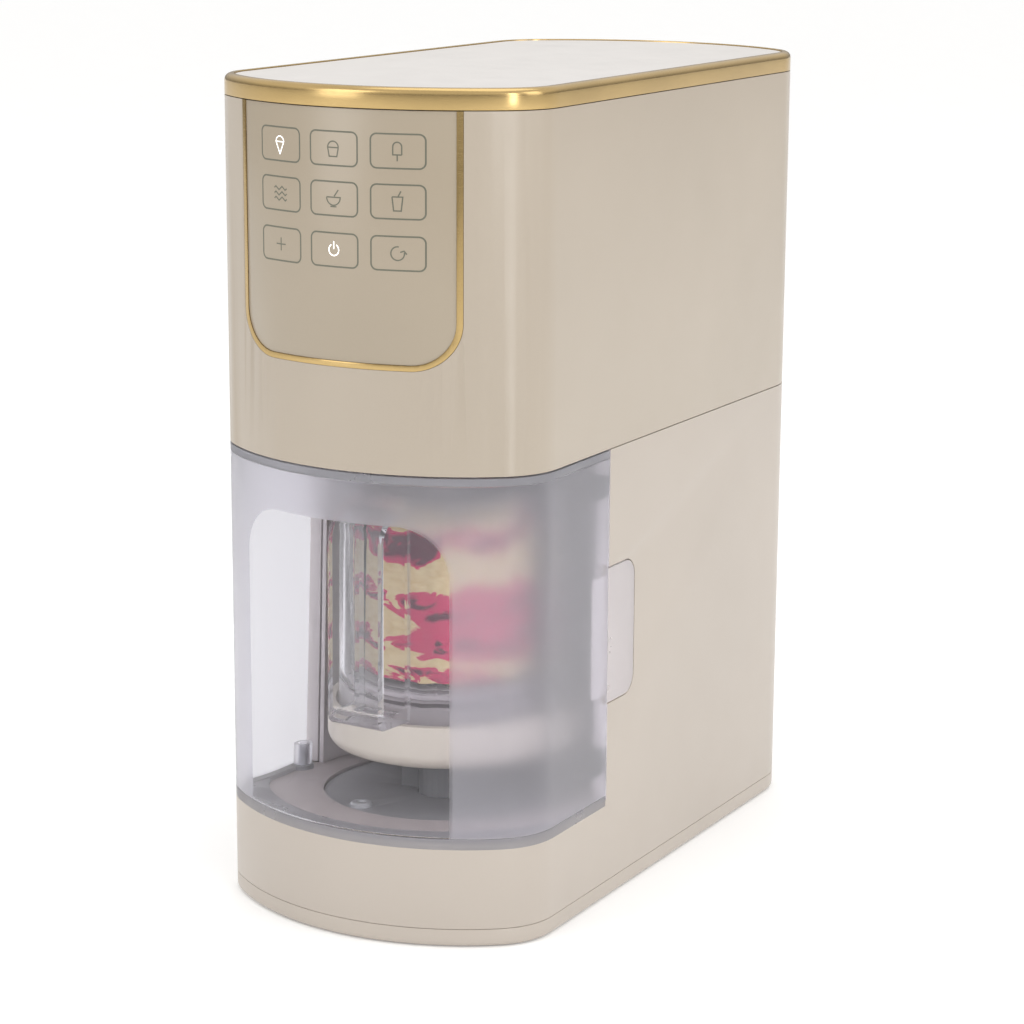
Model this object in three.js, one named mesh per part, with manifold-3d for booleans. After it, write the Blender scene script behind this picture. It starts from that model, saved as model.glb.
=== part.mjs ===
// A tall countertop ice cream maker: a drive housing above a chamber with a wrap-around guard door,
// where a clear jar stands on a lifting platform under a descending blade.
// Millimetres. X is the width, -Y the front, +Z up; the origin is under the middle of the base.
import * as THREE from 'three';
import { mergeVertices } from 'three/addons/utils/BufferGeometryUtils.js';
import Module from 'manifold-3d';

const wasm = await Module();
wasm.setup();

// Driving dimensions.
const gap = 0.3;                 // clearance between pieces that touch
const halfWidth = 86.5;
const halfDepth = 174.5;
const totalHeight = 400;
const bowDepth = 37;             // how far the bowed front and rear stand proud at the middle
const cornerRadius = 34;
const wall = 2.8;
const footDrop = 1.2;            // the feet stand this far below the bottom cover
const coverTop = 9.1;            // seam between bottom cover and lower body
const deckTop = 47.7;            // top of the base in front, where the door starts
const seamTop = 225.3;           // seam between lower body and upper housing
const ringBottom = 390.3;        // seam between upper housing and trim ring
const columnFront = -68.6;       // front face of the rear column
const jarY = -74;                // the jar, spindle and platform share this axis, at x = 0
const recessRadius = 75.8;       // concave back of the chamber
const discRadius = 60;
const floorTop = 51.3;           // round plateau inside the door
const hinge = { x: -80, y: -80, pinRadius: 2.2, boreRadius: 2.6, knuckleRadius: 4.5 };
const doorWall = 2.6;
const doorRear = -69.2;
const panelHalf = 58.5;          // fascia frame, and window in the door
const panelBottom = 273.6;
const panelCorner = 22;
const frameWidth = 2.6;
const liftTravel = 22;
const liftTurn = 55;             // degrees of platform turn for the whole lift
const handleAngle = 4;           // the jar handle points this far left of straight forward
const dishRadius = 58.5;
const dishBottom = 74;
const dishTop = 95;
const jarRadius = 53;
const jarTop = 199;
const tubRadius = 48.5;
const motorY = -33.85;           // motor axis, one gear distance behind the spindle
const screwY = -118;             // feed screw axis
const feedMotorX = 21.4;
const driveTeeth = 36;
const pinionTeeth = 12;
const driveModule = 5 / 3;
const screwTeeth = 24;
const feedTeeth = 10;
const feedModule = 1.25;
const rodX = 44;
const far = 500;                 // longer than anything it cuts

// Solids.
function solid(geometry) {
  const bare = geometry.clone();
  bare.deleteAttribute('normal');
  bare.deleteAttribute('uv');
  const merged = mergeVertices(bare, 1e-4);
  const position = merged.attributes.position.array;
  const index = merged.index.array;
  const corners = [];
  let volume = 0;
  const a = new THREE.Vector3();
  const b = new THREE.Vector3();
  const c = new THREE.Vector3();
  for (let i = 0; i < index.length; i += 3) {
    const [p, q, r] = [index[i], index[i + 1], index[i + 2]];
    if (p === q || q === r || p === r) continue;
    corners.push([p, q, r]);
    a.fromArray(position, 3 * p);
    b.fromArray(position, 3 * q);
    c.fromArray(position, 3 * r);
    volume += a.dot(b.cross(c));
  }
  const triangles = volume < 0 ? corners.map(([p, q, r]) => [p, r, q]) : corners;
  return new wasm.Manifold(new wasm.Mesh({
    numProp: 3,
    vertProperties: new Float32Array(position),
    triVerts: new Uint32Array(triangles.flat()),
  }));
}

function join(first, ...others) {
  return others.reduce((all, next) => all.add(next), first);
}

function cut(first, ...others) {
  return others.reduce((all, next) => all.subtract(next), first);
}

function box(x0, x1, y0, y1, z0, z1) {
  const geometry = new THREE.BoxGeometry(x1 - x0, y1 - y0, z1 - z0);
  return solid(geometry.translate((x0 + x1) / 2, (y0 + y1) / 2, (z0 + z1) / 2));
}

// An outline in the XY plane raised from z0 to z1.
function prism(shape, z0, z1, curveSegments = 4) {
  const geometry = new THREE.ExtrudeGeometry(shape, { depth: z1 - z0, bevelEnabled: false, curveSegments });
  return solid(geometry.translate(0, 0, z0));
}

// An outline in the XZ plane, running from y0 to y1.
function prismY(shape, y0, y1, curveSegments = 10) {
  const geometry = new THREE.ExtrudeGeometry(shape, { depth: y1 - y0, bevelEnabled: false, curveSegments });
  return solid(geometry.rotateX(Math.PI / 2).translate(0, y1, 0));
}

// An outline in the YZ plane, running from x0 to x1.
function prismX(shape, x0, x1, curveSegments = 8) {
  const geometry = new THREE.ExtrudeGeometry(shape, { depth: x1 - x0, bevelEnabled: false, curveSegments });
  const turn = new THREE.Matrix4().makeBasis(
    new THREE.Vector3(0, 1, 0), new THREE.Vector3(0, 0, 1), new THREE.Vector3(1, 0, 0));
  return solid(geometry.applyMatrix4(turn).translate(x0, 0, 0));
}

function cylinder(x, y, radius, z0, z1, segments = 18, topRadius = radius) {
  const geometry = new THREE.CylinderGeometry(topRadius, radius, z1 - z0, segments);
  return solid(geometry.rotateX(Math.PI / 2).translate(x, y, (z0 + z1) / 2));
}

// A closed profile of [radius, z] pairs turned about the upright line through x, y.
function turned(profile, x = 0, y = jarY, segments = 36) {
  const points = profile.map(([radius, z]) => new THREE.Vector2(radius, z));
  const onAxis = profile[0][0] === 0 && profile[profile.length - 1][0] === 0;
  if (!onAxis) points.push(points[0].clone());
  const geometry = new THREE.LatheGeometry(points, segments);
  return solid(geometry.rotateX(Math.PI / 2).translate(x, y, 0));
}

function ring(x, y, innerRadius, outerRadius, z0, z1, segments = 24) {
  return turned([[innerRadius, z0], [outerRadius, z0], [outerRadius, z1], [innerRadius, z1]], x, y, segments);
}

function roundedRect(x0, x1, y0, y1, bottomRadius, topRadius = bottomRadius) {
  const shape = new THREE.Shape();
  shape.moveTo(x0 + bottomRadius, y0);
  shape.lineTo(x1 - bottomRadius, y0);
  if (bottomRadius) shape.absarc(x1 - bottomRadius, y0 + bottomRadius, bottomRadius, -Math.PI / 2, 0);
  shape.lineTo(x1, y1 - topRadius);
  if (topRadius) shape.absarc(x1 - topRadius, y1 - topRadius, topRadius, 0, Math.PI / 2);
  shape.lineTo(x0 + topRadius, y1);
  if (topRadius) shape.absarc(x0 + topRadius, y1 - topRadius, topRadius, Math.PI / 2, Math.PI);
  shape.lineTo(x0, y0 + bottomRadius);
  if (bottomRadius) shape.absarc(x0 + bottomRadius, y0 + bottomRadius, bottomRadius, Math.PI, 1.5 * Math.PI);
  return shape;
}

// The body's plan: straight sides, bowed ends and round corners, moved inwards by inset.
const bowRadius = (halfWidth ** 2 + bowDepth ** 2) / (2 * bowDepth);
const bowCentre = halfDepth - bowRadius;
const cornerX = halfWidth - cornerRadius;
const cornerY = bowCentre + Math.sqrt((bowRadius - cornerRadius) ** 2 - cornerX ** 2);
const cornerTurn = Math.atan2(cornerY - bowCentre, cornerX);

function planPoints(inset) {
  const arcs = [
    [cornerX, cornerY, cornerRadius - inset, 0, cornerTurn, 5],
    [0, bowCentre, bowRadius - inset, cornerTurn, Math.PI - cornerTurn, 10],
    [-cornerX, cornerY, cornerRadius - inset, Math.PI - cornerTurn, Math.PI, 5],
  ];
  const rear = [];
  for (const [x, y, radius, from, to, steps] of arcs) {
    const first = rear.length ? 1 : 0;
    for (let i = first; i <= steps; i += 1) {
      const angle = from + (to - from) * i / steps;
      rear.push([x + radius * Math.cos(angle), y + radius * Math.sin(angle)]);
    }
  }
  return [...rear, ...rear.map(([x, y]) => [-x, -y])];
}

// A solid of the body's plan through levels of [z, inset].
function stack(levels) {
  const rings = levels.map(([z, inset]) => planPoints(inset).map(([x, y]) => [x, y, z]));
  const count = rings[0].length;
  const index = [];
  for (let k = 0; k + 1 < rings.length; k += 1) {
    for (let i = 0; i < count; i += 1) {
      const next = (i + 1) % count;
      const [a, b] = [k * count + i, k * count + next];
      index.push(a, b, b + count, a, b + count, a + count);
    }
  }
  const top = (rings.length - 1) * count;
  for (let i = 1; i + 1 < count; i += 1) {
    index.push(0, i + 1, i);
    index.push(top, top + i, top + i + 1);
  }
  const geometry = new THREE.BufferGeometry();
  geometry.setAttribute('position', new THREE.Float32BufferAttribute(rings.flat(2), 3));
  geometry.setIndex(index);
  return solid(geometry);
}

function slab(inset, z0, z1) {
  return stack([[z0, inset], [z1, inset]]);
}

// A sector of a ring whose bottom and top are functions of the angle in degrees.
function ringSector(innerRadius, outerRadius, from, to, steps, bottomAt, topAt) {
  const position = [];
  const index = [];
  for (let i = 0; i <= steps; i += 1) {
    const degrees = from + (to - from) * i / steps;
    const angle = THREE.MathUtils.degToRad(degrees);
    for (const [radius, z] of [
      [innerRadius, bottomAt(degrees)], [outerRadius, bottomAt(degrees)],
      [outerRadius, topAt(degrees)], [innerRadius, topAt(degrees)],
    ]) position.push(radius * Math.cos(angle), jarY + radius * Math.sin(angle), z);
  }
  for (let i = 0; i < steps; i += 1) {
    for (let k = 0; k < 4; k += 1) {
      const [a, b] = [4 * i + k, 4 * i + (k + 1) % 4];
      index.push(a, b, b + 4, a, b + 4, a + 4);
    }
  }
  const last = 4 * steps;
  index.push(0, 2, 1, 0, 3, 2, last, last + 1, last + 2, last, last + 2, last + 3);
  const geometry = new THREE.BufferGeometry();
  geometry.setAttribute('position', new THREE.Float32BufferAttribute(position, 3));
  geometry.setIndex(index);
  return solid(geometry);
}

function gear(x, y, teeth, module, z0, z1, phase) {
  const pitch = 2 * Math.PI / teeth;
  const radius = teeth * module / 2;
  const tip = radius + 0.85 * module;
  const root = radius - 1.15 * module;
  const shape = new THREE.Shape();
  for (let i = 0; i < teeth; i += 1) {
    for (const [part, reach] of [[-0.3, root], [-0.13, tip], [0.13, tip], [0.3, root]]) {
      const angle = phase + (i + part) * pitch;
      const point = [reach * Math.cos(angle), reach * Math.sin(angle)];
      if (i === 0 && part === -0.3) shape.moveTo(...point);
      else shape.lineTo(...point);
    }
  }
  return prism(shape, z0, z1).translate([x, y, 0]);
}

// Base.
const footPlaces = [[-52, -118], [52, -118], [-58, 118], [58, 118]];
const screwPlaces = [[-62, -88], [62, -88], [-68, 88], [68, 88]];

function foot(x, y) {
  return turned([[0, 0], [8, 0], [9, 0.8], [9, 2.8], [0, 2.8]], x, y, 18);
}

function bottomScrew(x, y) {
  const head = cylinder(x, y, 3.9, 1.8, 4.2, 14);
  const shank = cylinder(x, y, 1.9, 4.1, 16, 8);
  return cut(join(head, shank), box(x - 3, x + 3, y - 0.5, y + 0.5, 1, 2.8));
}

function bottomCover() {
  const outer = stack([[footDrop, 5.5], [2.4, 2.6], [5, 0.6], [coverTop, 0]]);
  const inside = slab(wall, 3.8, far);
  const footBosses = footPlaces.map(([x, y]) => cylinder(x, y, 12, 3, 6, 14));
  const screwBosses = screwPlaces.map(([x, y]) => cylinder(x, y, 6.5, 3, 7.6, 12));
  const footSeats = footPlaces.map(([x, y]) => cylinder(x, y, 9.5, 0, 3.1, 18));
  const counterbores = screwPlaces.map(([x, y]) => cylinder(x, y, 4.3, 0, 4.5, 14));
  const holes = screwPlaces.map(([x, y]) => cylinder(x, y, 2.4, 0, 20, 8));
  const hollow = join(cut(outer, inside), ...footBosses, ...screwBosses);
  return cut(hollow, ...footSeats, ...counterbores, ...holes);
}

// The pocket in the column's right side that the door's grip lies in.
const grip = { front: columnFront, rear: -41.5, bottom: 100.5, top: 167.5, radius: 9 };

function gripOutline(grow, front) {
  const { rear, bottom, top, radius } = grip;
  const shape = new THREE.Shape();
  const corner = radius + grow;
  shape.moveTo(front, bottom - grow);
  shape.lineTo(rear - radius, bottom - grow);
  shape.absarc(rear - radius, bottom + radius, corner, -Math.PI / 2, 0);
  shape.absarc(rear - radius, top - radius, corner, 0, Math.PI / 2);
  shape.lineTo(front, top + grow);
  return shape;
}

function lowerBody() {
  const outer = slab(0, coverTop + gap, seamTop);
  const chamber = box(-far, far, -far, columnFront, deckTop, far);
  const shell = cut(outer, slab(wall, 0, far), chamber);
  const stripInner = recessRadius + doorWall + 0.6;
  const stripRear = columnFront + 2.6;
  const leftStrip = box(-84, -stripInner, columnFront, stripRear, deckTop + gap, seamTop);
  const rightStrip = box(stripInner, 84, columnFront, stripRear, deckTop + gap, seamTop);
  const backing = box(stripInner, 84, columnFront, grip.rear + 4, grip.bottom - 3, grip.top + 3);
  const pocket = prismX(gripOutline(0.7, -far), 80.8, far);
  const cordHole = cylinderY(45, 30, 6, 100, 200, 24);
  return cut(join(shell, leftStrip, rightStrip, backing), pocket, cordHole);
}

function cylinderY(x, z, radius, y0, y1, segments, rearRadius = radius) {
  const geometry = new THREE.CylinderGeometry(rearRadius, radius, y1 - y0, segments);
  return solid(geometry.translate(x, (y0 + y1) / 2, z));
}

function cordBush() {
  const body = join(cylinderY(45, 30, 5.7, 159, 170, 24), cylinderY(45, 30, 8, 168.5, 170.5, 24),
    cylinderY(45, 30, 6, 170.4, 174, 24, 4.8));
  return cut(body, cylinderY(45, 30, 3.5, 150, 180, 20));
}

// Chamber.
function chamberLiner() {
  const sleeve = ring(0, jarY, recessRadius, recessRadius + 2.4, deckTop + gap, seamTop, 72);
  return cut(sleeve, box(-far, far, -far, columnFront + gap, -far, far));
}

function floorTray() {
  const bottom = deckTop - 3.2;
  const front = cut(slab(wall + gap, bottom, deckTop), box(-far, far, columnFront - gap, far, -far, far));
  const back = cylinder(0, jarY, recessRadius + 2, bottom, deckTop, 72);
  const raisedFront = cut(cylinder(0, jarY, 79.5, bottom, floorTop, 72),
    box(-far, far, columnFront - gap, far, -far, far));
  const raisedBack = cylinder(0, jarY, recessRadius - gap, bottom, floorTop, 72);
  const opening = cylinder(0, jarY, discRadius + gap, 0, far, 64);
  const pinHole = cylinder(hinge.x, hinge.y, hinge.boreRadius, 0, far, 16);
  const doorSweep = cylinder(hinge.x, hinge.y, 12, deckTop, far, 32);
  return cut(join(front, back, raisedFront, raisedBack), opening, pinHole, doorSweep);
}

function floorDisc() {
  const [bottom, top] = [floorTop - 5, floorTop - 1.4];
  const plate = ring(0, jarY, 14.4, discRadius, bottom, top, 56);
  const boss = cylinder(-22, jarY - 44, 5.5, top - 0.5, top + 1.4, 16, 4.8);
  const notch = box(-25, 25, jarY - 3.5, jarY + 3.5, 0, far);
  return cut(join(plate, boss), notch);
}

// The stem turns the cam with the jar platform. The lugs of the column, which can't turn, ride on the ramps.
const rampTop = 33.2;
const rampPerDegree = liftTravel / liftTurn;
const rampEnds = [97, 217, 337];
const columnBore = 10.8;

function liftCam() {
  const floor = ring(0, jarY, 42, 50, 4.4, 6, 30);
  const ramps = rampEnds.map((end) => ringSector(42, 50, end - 67, end, 8,
    () => 5, (angle) => rampTop - rampPerDegree * (end - angle)));
  const spokes = box(-43, 43, jarY - 4, jarY + 4, 4.4, 8);
  const hub = cylinder(0, jarY, columnBore - 0.5, 4.4, 31, 24);
  return cut(join(floor, ...ramps, spokes, hub), squareBar(4.6, 0, far));
}

function squareBar(half, z0, z1) {
  return box(-half, half, jarY - half, jarY + half, z0, z1);
}

function platformStem() {
  return squareBar(4.2, 26.6, dishBottom - gap);
}

function liftColumn() {
  const flangeTop = 38;
  const top = dishBottom - gap;
  const post = cylinder(0, jarY, 14, 34, top, 28);
  const flange = cylinder(0, jarY, 41, 34, flangeTop, 36);
  const lugs = rampEnds.map((end) => ringSector(39, 49, end - 9, end - 1, 2,
    (angle) => rampTop + 0.4 - rampPerDegree * (end - angle), () => flangeTop));
  const ribs = box(-24, 24, jarY - 3, jarY + 3, 37, top);
  return cut(join(post, flange, ...lugs, ribs), cylinder(0, jarY, columnBore, 0, far, 24));
}

function jarPlatform() {
  const seat = dishTop - 7;
  return turned([[0, dishBottom], [51, dishBottom], [54, dishBottom + 0.6], [56.4, dishBottom + 2.2],
    [57.9, dishBottom + 4.6], [dishRadius, dishBottom + 7.5], [dishRadius, dishTop], [54, dishTop],
    [54, seat], [0, seat]], 0, jarY, 48);
}

// Jar, tub and blade.
function jarHandle() {
  const [inner, outer] = [jarRadius - 2, 78];
  const [bottom, top] = [dishTop + 1.5, jarTop];
  const loop = new THREE.Shape();
  loop.moveTo(inner, bottom);
  loop.lineTo(outer - 5, bottom);
  loop.absarc(outer - 5, bottom + 5, 5, -Math.PI / 2, 0);
  loop.absarc(outer - 16, top - 16, 16, 0, Math.PI / 2);
  loop.lineTo(inner, top);
  const hole = roundedRect(jarRadius + 3.5, outer - 4.5, bottom + 6, top - 5, 2, 8);
  loop.holes.push(hole);
  const handle = prismY(loop, -14.5, 14.5);
  return handle.rotate([0, 0, -90 - handleAngle]).translate([0, jarY, 0]);
}

function jar() {
  const bottom = dishTop - 7 + gap;
  const cup = turned([[0, bottom], [jarRadius - 1, bottom], [jarRadius, bottom + 1.5], [jarRadius, jarTop],
    [0, jarTop]]);
  const inside = turned([[0, 104], [48.6, 104], [50.4, 106], [50.4, far], [0, far]]);
  const underside = cylinder(0, jarY, 45, 0, 100.5, 48);
  return cut(join(cup, jarHandle()), inside, underside);
}

function tub() {
  return turned([[0, 107.5], [44.5, 107.5], [44.5, 104.4], [46, 104.4], [46.6, 107], [tubRadius, 190],
    [49.8, 191.5], [49.8, 194.5], [tubRadius - 1.6, 194.5], [tubRadius - 1.6, 190], [45.6, 109.5],
    [0, 109.5]]);
}

function tubContents() {
  return turned([[0, 109.9], [43.4, 109.9], [45.2, 111.4], [46.5, 184.2], [42, 187.2], [26, 188.4],
    [9, 187], [0, 186.4]]);
}

// The lid hangs in its dock under the housing, so the jar sinks away from it.
const dockRadius = 30;
const lidTop = 205.6;

function jarLid() {
  const neck = dockRadius - gap;
  const plate = turned([[0, jarTop + gap], [54, jarTop + gap], [54, 203.5], [51, 205], [neck, lidTop],
    [neck, 212.5], [0, 212.5]]);
  const plug = ring(0, jarY, 46.5, 49.6, 195.4, 200, 36);
  return cut(join(plate, plug), turned([[0, 0], [9.6, 0], [9.6, far], [0, far]]));
}

function blade() {
  const hub = cylinder(0, jarY, 8, 189.6, 211.5, 28);
  const arm = box(-44, 44, -5.5, 5.5, -1.4, 1.4).rotate([14, 0, 0]).translate([0, jarY, 192.2]);
  const tips = [-42, 42].map((x) => box(x - 2, x + 2, jarY - 4, jarY + 4, 189.6, 194.8));
  const socket = cylinder(0, jarY, 5.4, 203, 220, 6);
  return cut(join(hub, trimRound(join(arm, ...tips), 44)), socket);
}

function trimRound(piece, radius) {
  return piece.intersect(cylinder(0, jarY, radius, 0, far, 48));
}

function lidDock() {
  const flange = ring(0, jarY, dockRadius, 60, seamTop - 2.6, seamTop, 32);
  const collar = ring(0, jarY, dockRadius, 33, lidTop + gap, seamTop - 2, 32);
  return join(flange, collar);
}

// Upper housing.
const vent = { half: 38, bottom: 300, top: 352, slots: 6 };

function frontShape(half, bottom, corner) {
  return roundedRect(-half, half, bottom, far, corner, 0);
}

function upperHousing() {
  const bottom = seamTop + 0.5;
  const outer = slab(0, bottom, ringBottom - gap);
  const shell = cut(outer, slab(wall, bottom + 2.6, far));
  const columnHole = cut(slab(wall, 0, 300), box(-far, far, -far, 12, -far, far));
  const spindleHole = cylinder(0, jarY, 12, 0, 300, 32);
  const pinHole = cylinder(hinge.x, hinge.y, hinge.boreRadius, 0, 300, 16);
  const skin = cut(slab(-1, 200, far), slab(1.6, 0, far));
  const seatShape = frontShape(panelHalf + gap, panelBottom - gap, panelCorner);
  const panelSeat = skin.intersect(prismY(seatShape, -far, 0));
  const ventHole = prismY(roundedRect(-vent.half, vent.half, vent.bottom, vent.top, 5), 100, far);
  return cut(shell, columnHole, spindleHole, pinHole, panelSeat, ventHole);
}

function fasciaFrame() {
  const band = cut(slab(0, 200, ringBottom - gap), slab(1.3, 0, far));
  const outer = prismY(frontShape(panelHalf, panelBottom, panelCorner), -far, 0, 14);
  const innerShape = frontShape(panelHalf - frameWidth, panelBottom + frameWidth, panelCorner - frameWidth);
  return cut(band.intersect(outer), prismY(innerShape, -far, 0, 14));
}

function fascia() {
  const inset = frameWidth + gap;
  const sheet = cut(slab(0.5, 200, ringBottom - gap), slab(1.3, 0, far));
  const shape = frontShape(panelHalf - inset, panelBottom + inset, panelCorner - inset);
  return sheet.intersect(prismY(shape, -far, 0, 14));
}

function touchBoard() {
  const sheet = cut(slab(wall + 0.6, 308, 386), slab(wall + 2.2, 0, far));
  return sheet.intersect(box(-46, 46, -far, -100, 0, far));
}

function powerBoard() {
  const board = box(-55, 55, 132, 133.6, 248, 372);
  const transformer = box(-40, -8, 112, 132.5, 260, 292);
  const capacitor = box(6, 20, 114, 132.5, 262, 286);
  const relay = box(28, 46, 118, 132.5, 262, 278);
  const heatSink = box(-44, -18, 110, 132.5, 330, 360);
  return join(board, transformer, capacitor, relay, heatSink);
}

function ventGrille() {
  const sheet = cut(slab(0.4, 200, 380), slab(wall, 0, far));
  const outline = roundedRect(-vent.half + gap, vent.half - gap, vent.bottom + gap, vent.top - gap, 5);
  const pitch = (vent.top - vent.bottom - 4) / vent.slots;
  const slots = Array.from({ length: vent.slots }, (unused, i) => {
    const low = vent.bottom + 4 + i * pitch;
    return box(-vent.half + 6, vent.half - 6, 100, far, low, low + pitch - 3.4);
  });
  return cut(sheet.intersect(prismY(outline, 100, far)), ...slots);
}

function trimRing() {
  const outer = stack([[ringBottom, 0], [397, 0], [399.2, 1.2], [totalHeight, 3.2]]);
  return cut(outer, slab(12, 0, far), slab(4.6, 393, far));
}

function topCover() {
  const outer = stack([[393.3, 4.9], [398.8, 4.9], [399.4, 5.6]]);
  return cut(outer, slab(7.4, 0, 397));
}

// Drive.
const deck = { bottom: 234, top: 238 };
const gearBottom = 241;
const gearTop = 251;
const screwGear = { bottom: 253, top: 259 };
const carriage = { bottom: 366, top: 375.5 };
const bridgeBottom = 380.5;

function gearDeck() {
  const plate = prism(roundedRect(-74, 74, -140, 4, 16), deck.bottom, deck.top);
  const posts = [[-64, -112], [64, -112], [-64, -10], [64, -10]].map(([x, y]) =>
    cylinder(x, y, 6, 228.7, deck.bottom + 1, 16));
  return cut(join(plate, ...posts), cylinder(0, jarY, 10, 0, far, 28));
}

function spindleBush() {
  return join(ring(0, jarY, 6.4, 9.7, 231, 240.4, 28), ring(0, jarY, 6.4, 13, deck.top + gap, 240.4, 28));
}

function driveGear() {
  const wheel = gear(0, jarY, driveTeeth, driveModule, gearBottom, gearTop, Math.PI / 2);
  return cut(wheel, cylinder(0, jarY, 5.5, 0, far, 6));
}

function motorPinion() {
  return cut(gear(0, motorY, pinionTeeth, driveModule, gearBottom, gearTop,
    -Math.PI / 2 + Math.PI / pinionTeeth),
    cylinder(0, motorY, 3.3, 0, far, 16));
}

function motorBracket() {
  const [low, high] = [256, 260.6];
  const plate = prism(roundedRect(-32, 32, -60, -6, 5), low, high);
  const legs = [-32, 28].map((x) => box(x, x + 4, -48, -10, deck.top + gap, low + 1));
  return cut(join(plate, ...legs), cylinder(0, motorY, 8, 0, far, 24));
}

function motorCan() {
  const [low, high] = [261, 322];
  const can = cylinder(0, motorY, 24, low, high, 28);
  const inside = cylinder(0, motorY, 22, low + 2, high - 2, 28);
  const slots = [0, 60, 120].map((turn) =>
    box(-far, far, -4, 4, 268, 276).rotate([0, 0, turn]).translate([0, motorY, 0]));
  return cut(can, inside, cylinder(0, motorY, 5, 0, far, 20), ...slots);
}

function motorRotor() {
  const shaft = cylinder(0, motorY, 3, 239.5, 336, 20);
  const armature = cylinder(0, motorY, 17, 270, 308, 32);
  const commutator = cylinder(0, motorY, 9, 308, 315, 20);
  return join(shaft, armature, commutator);
}

function motorFan() {
  const hub = ring(0, motorY, 3.3, 7, 325, 334, 24);
  const disc = ring(0, motorY, 3.3, 21, 325, 326.6, 36);
  const vanes = Array.from({ length: 8 }, (unused, i) =>
    box(6, 20.5, -0.7, 0.7, 326, 333).rotate([0, 0, 45 * i]).translate([0, motorY, 0]));
  return join(hub, disc, ...vanes);
}

function spindle() {
  return join(cylinder(0, jarY, 5, 203.4, 376, 6), cylinder(0, jarY, 7.5, carriage.top + gap, 379, 24));
}

function spindleBearing() {
  return ring(0, jarY, 5.6, 8.7, carriage.bottom, carriage.top, 28);
}

function feedCarriage() {
  const plate = prism(roundedRect(-54, 54, -127, -62, 8), carriage.bottom, carriage.top);
  const nut = cylinder(0, screwY, 9, carriage.bottom - 8, carriage.top, 16);
  const sleeves = [-rodX, rodX].map((x) => cylinder(x, jarY, 8, carriage.bottom - 8, carriage.top, 16));
  const borePlaces = [[0, jarY, 9], [0, screwY, 4.4], [-rodX, jarY, 4.4], [rodX, jarY, 4.4]];
  const bores = borePlaces.map(([x, y, radius]) => cylinder(x, y, radius, 0, far, 20));
  return cut(join(plate, nut, ...sleeves), ...bores);
}

function guideRod(x) {
  return cylinder(x, jarY, 4, deck.top + gap, bridgeBottom - gap, 14);
}

function feedScrew() {
  return join(cylinder(0, screwY, 4, screwGear.top - 1, bridgeBottom - gap, 24),
    cylinder(0, screwY, 3, deck.top + gap, bridgeBottom - gap, 20));
}

function feedScrewGear() {
  const wheel = gear(0, screwY, screwTeeth, feedModule, screwGear.bottom, screwGear.top - 1.3, 0);
  return cut(wheel, cylinder(0, screwY, 3.3, 0, far, 20));
}

function feedPinion() {
  const shaft = cylinder(feedMotorX, screwY, 2, 250.9, screwGear.top, 14);
  return join(gear(feedMotorX, screwY, feedTeeth, feedModule, screwGear.bottom, screwGear.top,
    Math.PI + Math.PI / feedTeeth), shaft);
}

function feedMotor() {
  return join(cylinder(feedMotorX, screwY, 11, deck.top + gap, 249.5, 32),
    cylinder(feedMotorX, screwY, 4, 249, 250.6, 20));
}

function rodBridge() {
  return prism(roundedRect(-54, 54, -127, -62, 8), bridgeBottom, bridgeBottom + 4);
}

// Door.
function doorPlan(inset, z0, z1) {
  const rearCut = join(box(-far, far, doorRear, far, -far, far), box(-far, 0, -71, far, -far, far));
  return cut(slab(inset, z0, z1), rearCut);
}

const rimTop = 53.4;
const railBottom = 221.4;
const doorTop = 224.9;

function doorRim() {
  const bottom = deckTop + 0.6;
  const band = cut(doorPlan(0, bottom, rimTop), slab(6, 0, far));
  const ledge = cut(doorPlan(0, bottom, rimTop), cylinder(0, jarY + 3, 88, 0, far, 72),
    box(-far, far, -100, far, -far, far));
  const lobe = cylinder(hinge.x, hinge.y, 5.4, bottom, rimTop, 28);
  return cut(join(band, ledge, lobe), cylinder(hinge.x, hinge.y, hinge.boreRadius, 0, far, 20));
}

function doorShell() {
  const [bottom, top] = [rimTop + gap, railBottom - gap];
  const skin = cut(doorPlan(0, bottom, top), slab(doorWall, 0, far));
  const knuckles = [[bottom, bottom + 9.5], [top - 13, top]].map(([low, high]) =>
    cylinder(hinge.x, hinge.y, hinge.knuckleRadius, low, high, 28));
  return cut(join(skin, ...knuckles), cylinder(hinge.x, hinge.y, hinge.boreRadius, 0, far, 20));
}

function doorTopRail() {
  const band = cut(doorPlan(0, railBottom, doorTop), slab(4, 0, far));
  const lobe = cylinder(hinge.x, hinge.y, 5.4, railBottom, doorTop, 28);
  return cut(join(band, lobe), cylinder(hinge.x, hinge.y, hinge.boreRadius, 0, far, 20));
}

function doorGrip() {
  const inner = halfWidth - doorWall;
  const plate = prismX(gripOutline(0, doorRear + gap), inner, halfWidth);
  const tongue = box(inner - 2.6, inner - gap, -80, -66.5, grip.bottom + 4, grip.top - 4);
  const bend = box(inner - 2.6, inner + 1, doorRear + gap, -66.5, grip.bottom + 4, grip.top - 4);
  return join(plate, tongue, bend);
}

const magnetLevels = [[65, 78], [202, 212]];

function doorMagnet([low, high]) {
  const outer = halfWidth - doorWall - gap;
  return box(outer - 3.6, outer, -78.5, -70.6, low, high);
}

function catchPlate([low, high]) {
  return box(79.8, 83.4, -70.3, columnFront - gap, low, high);
}

function hingePin(low, high) {
  return cylinder(hinge.x, hinge.y, hinge.pinRadius, low, high, 20);
}

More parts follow.
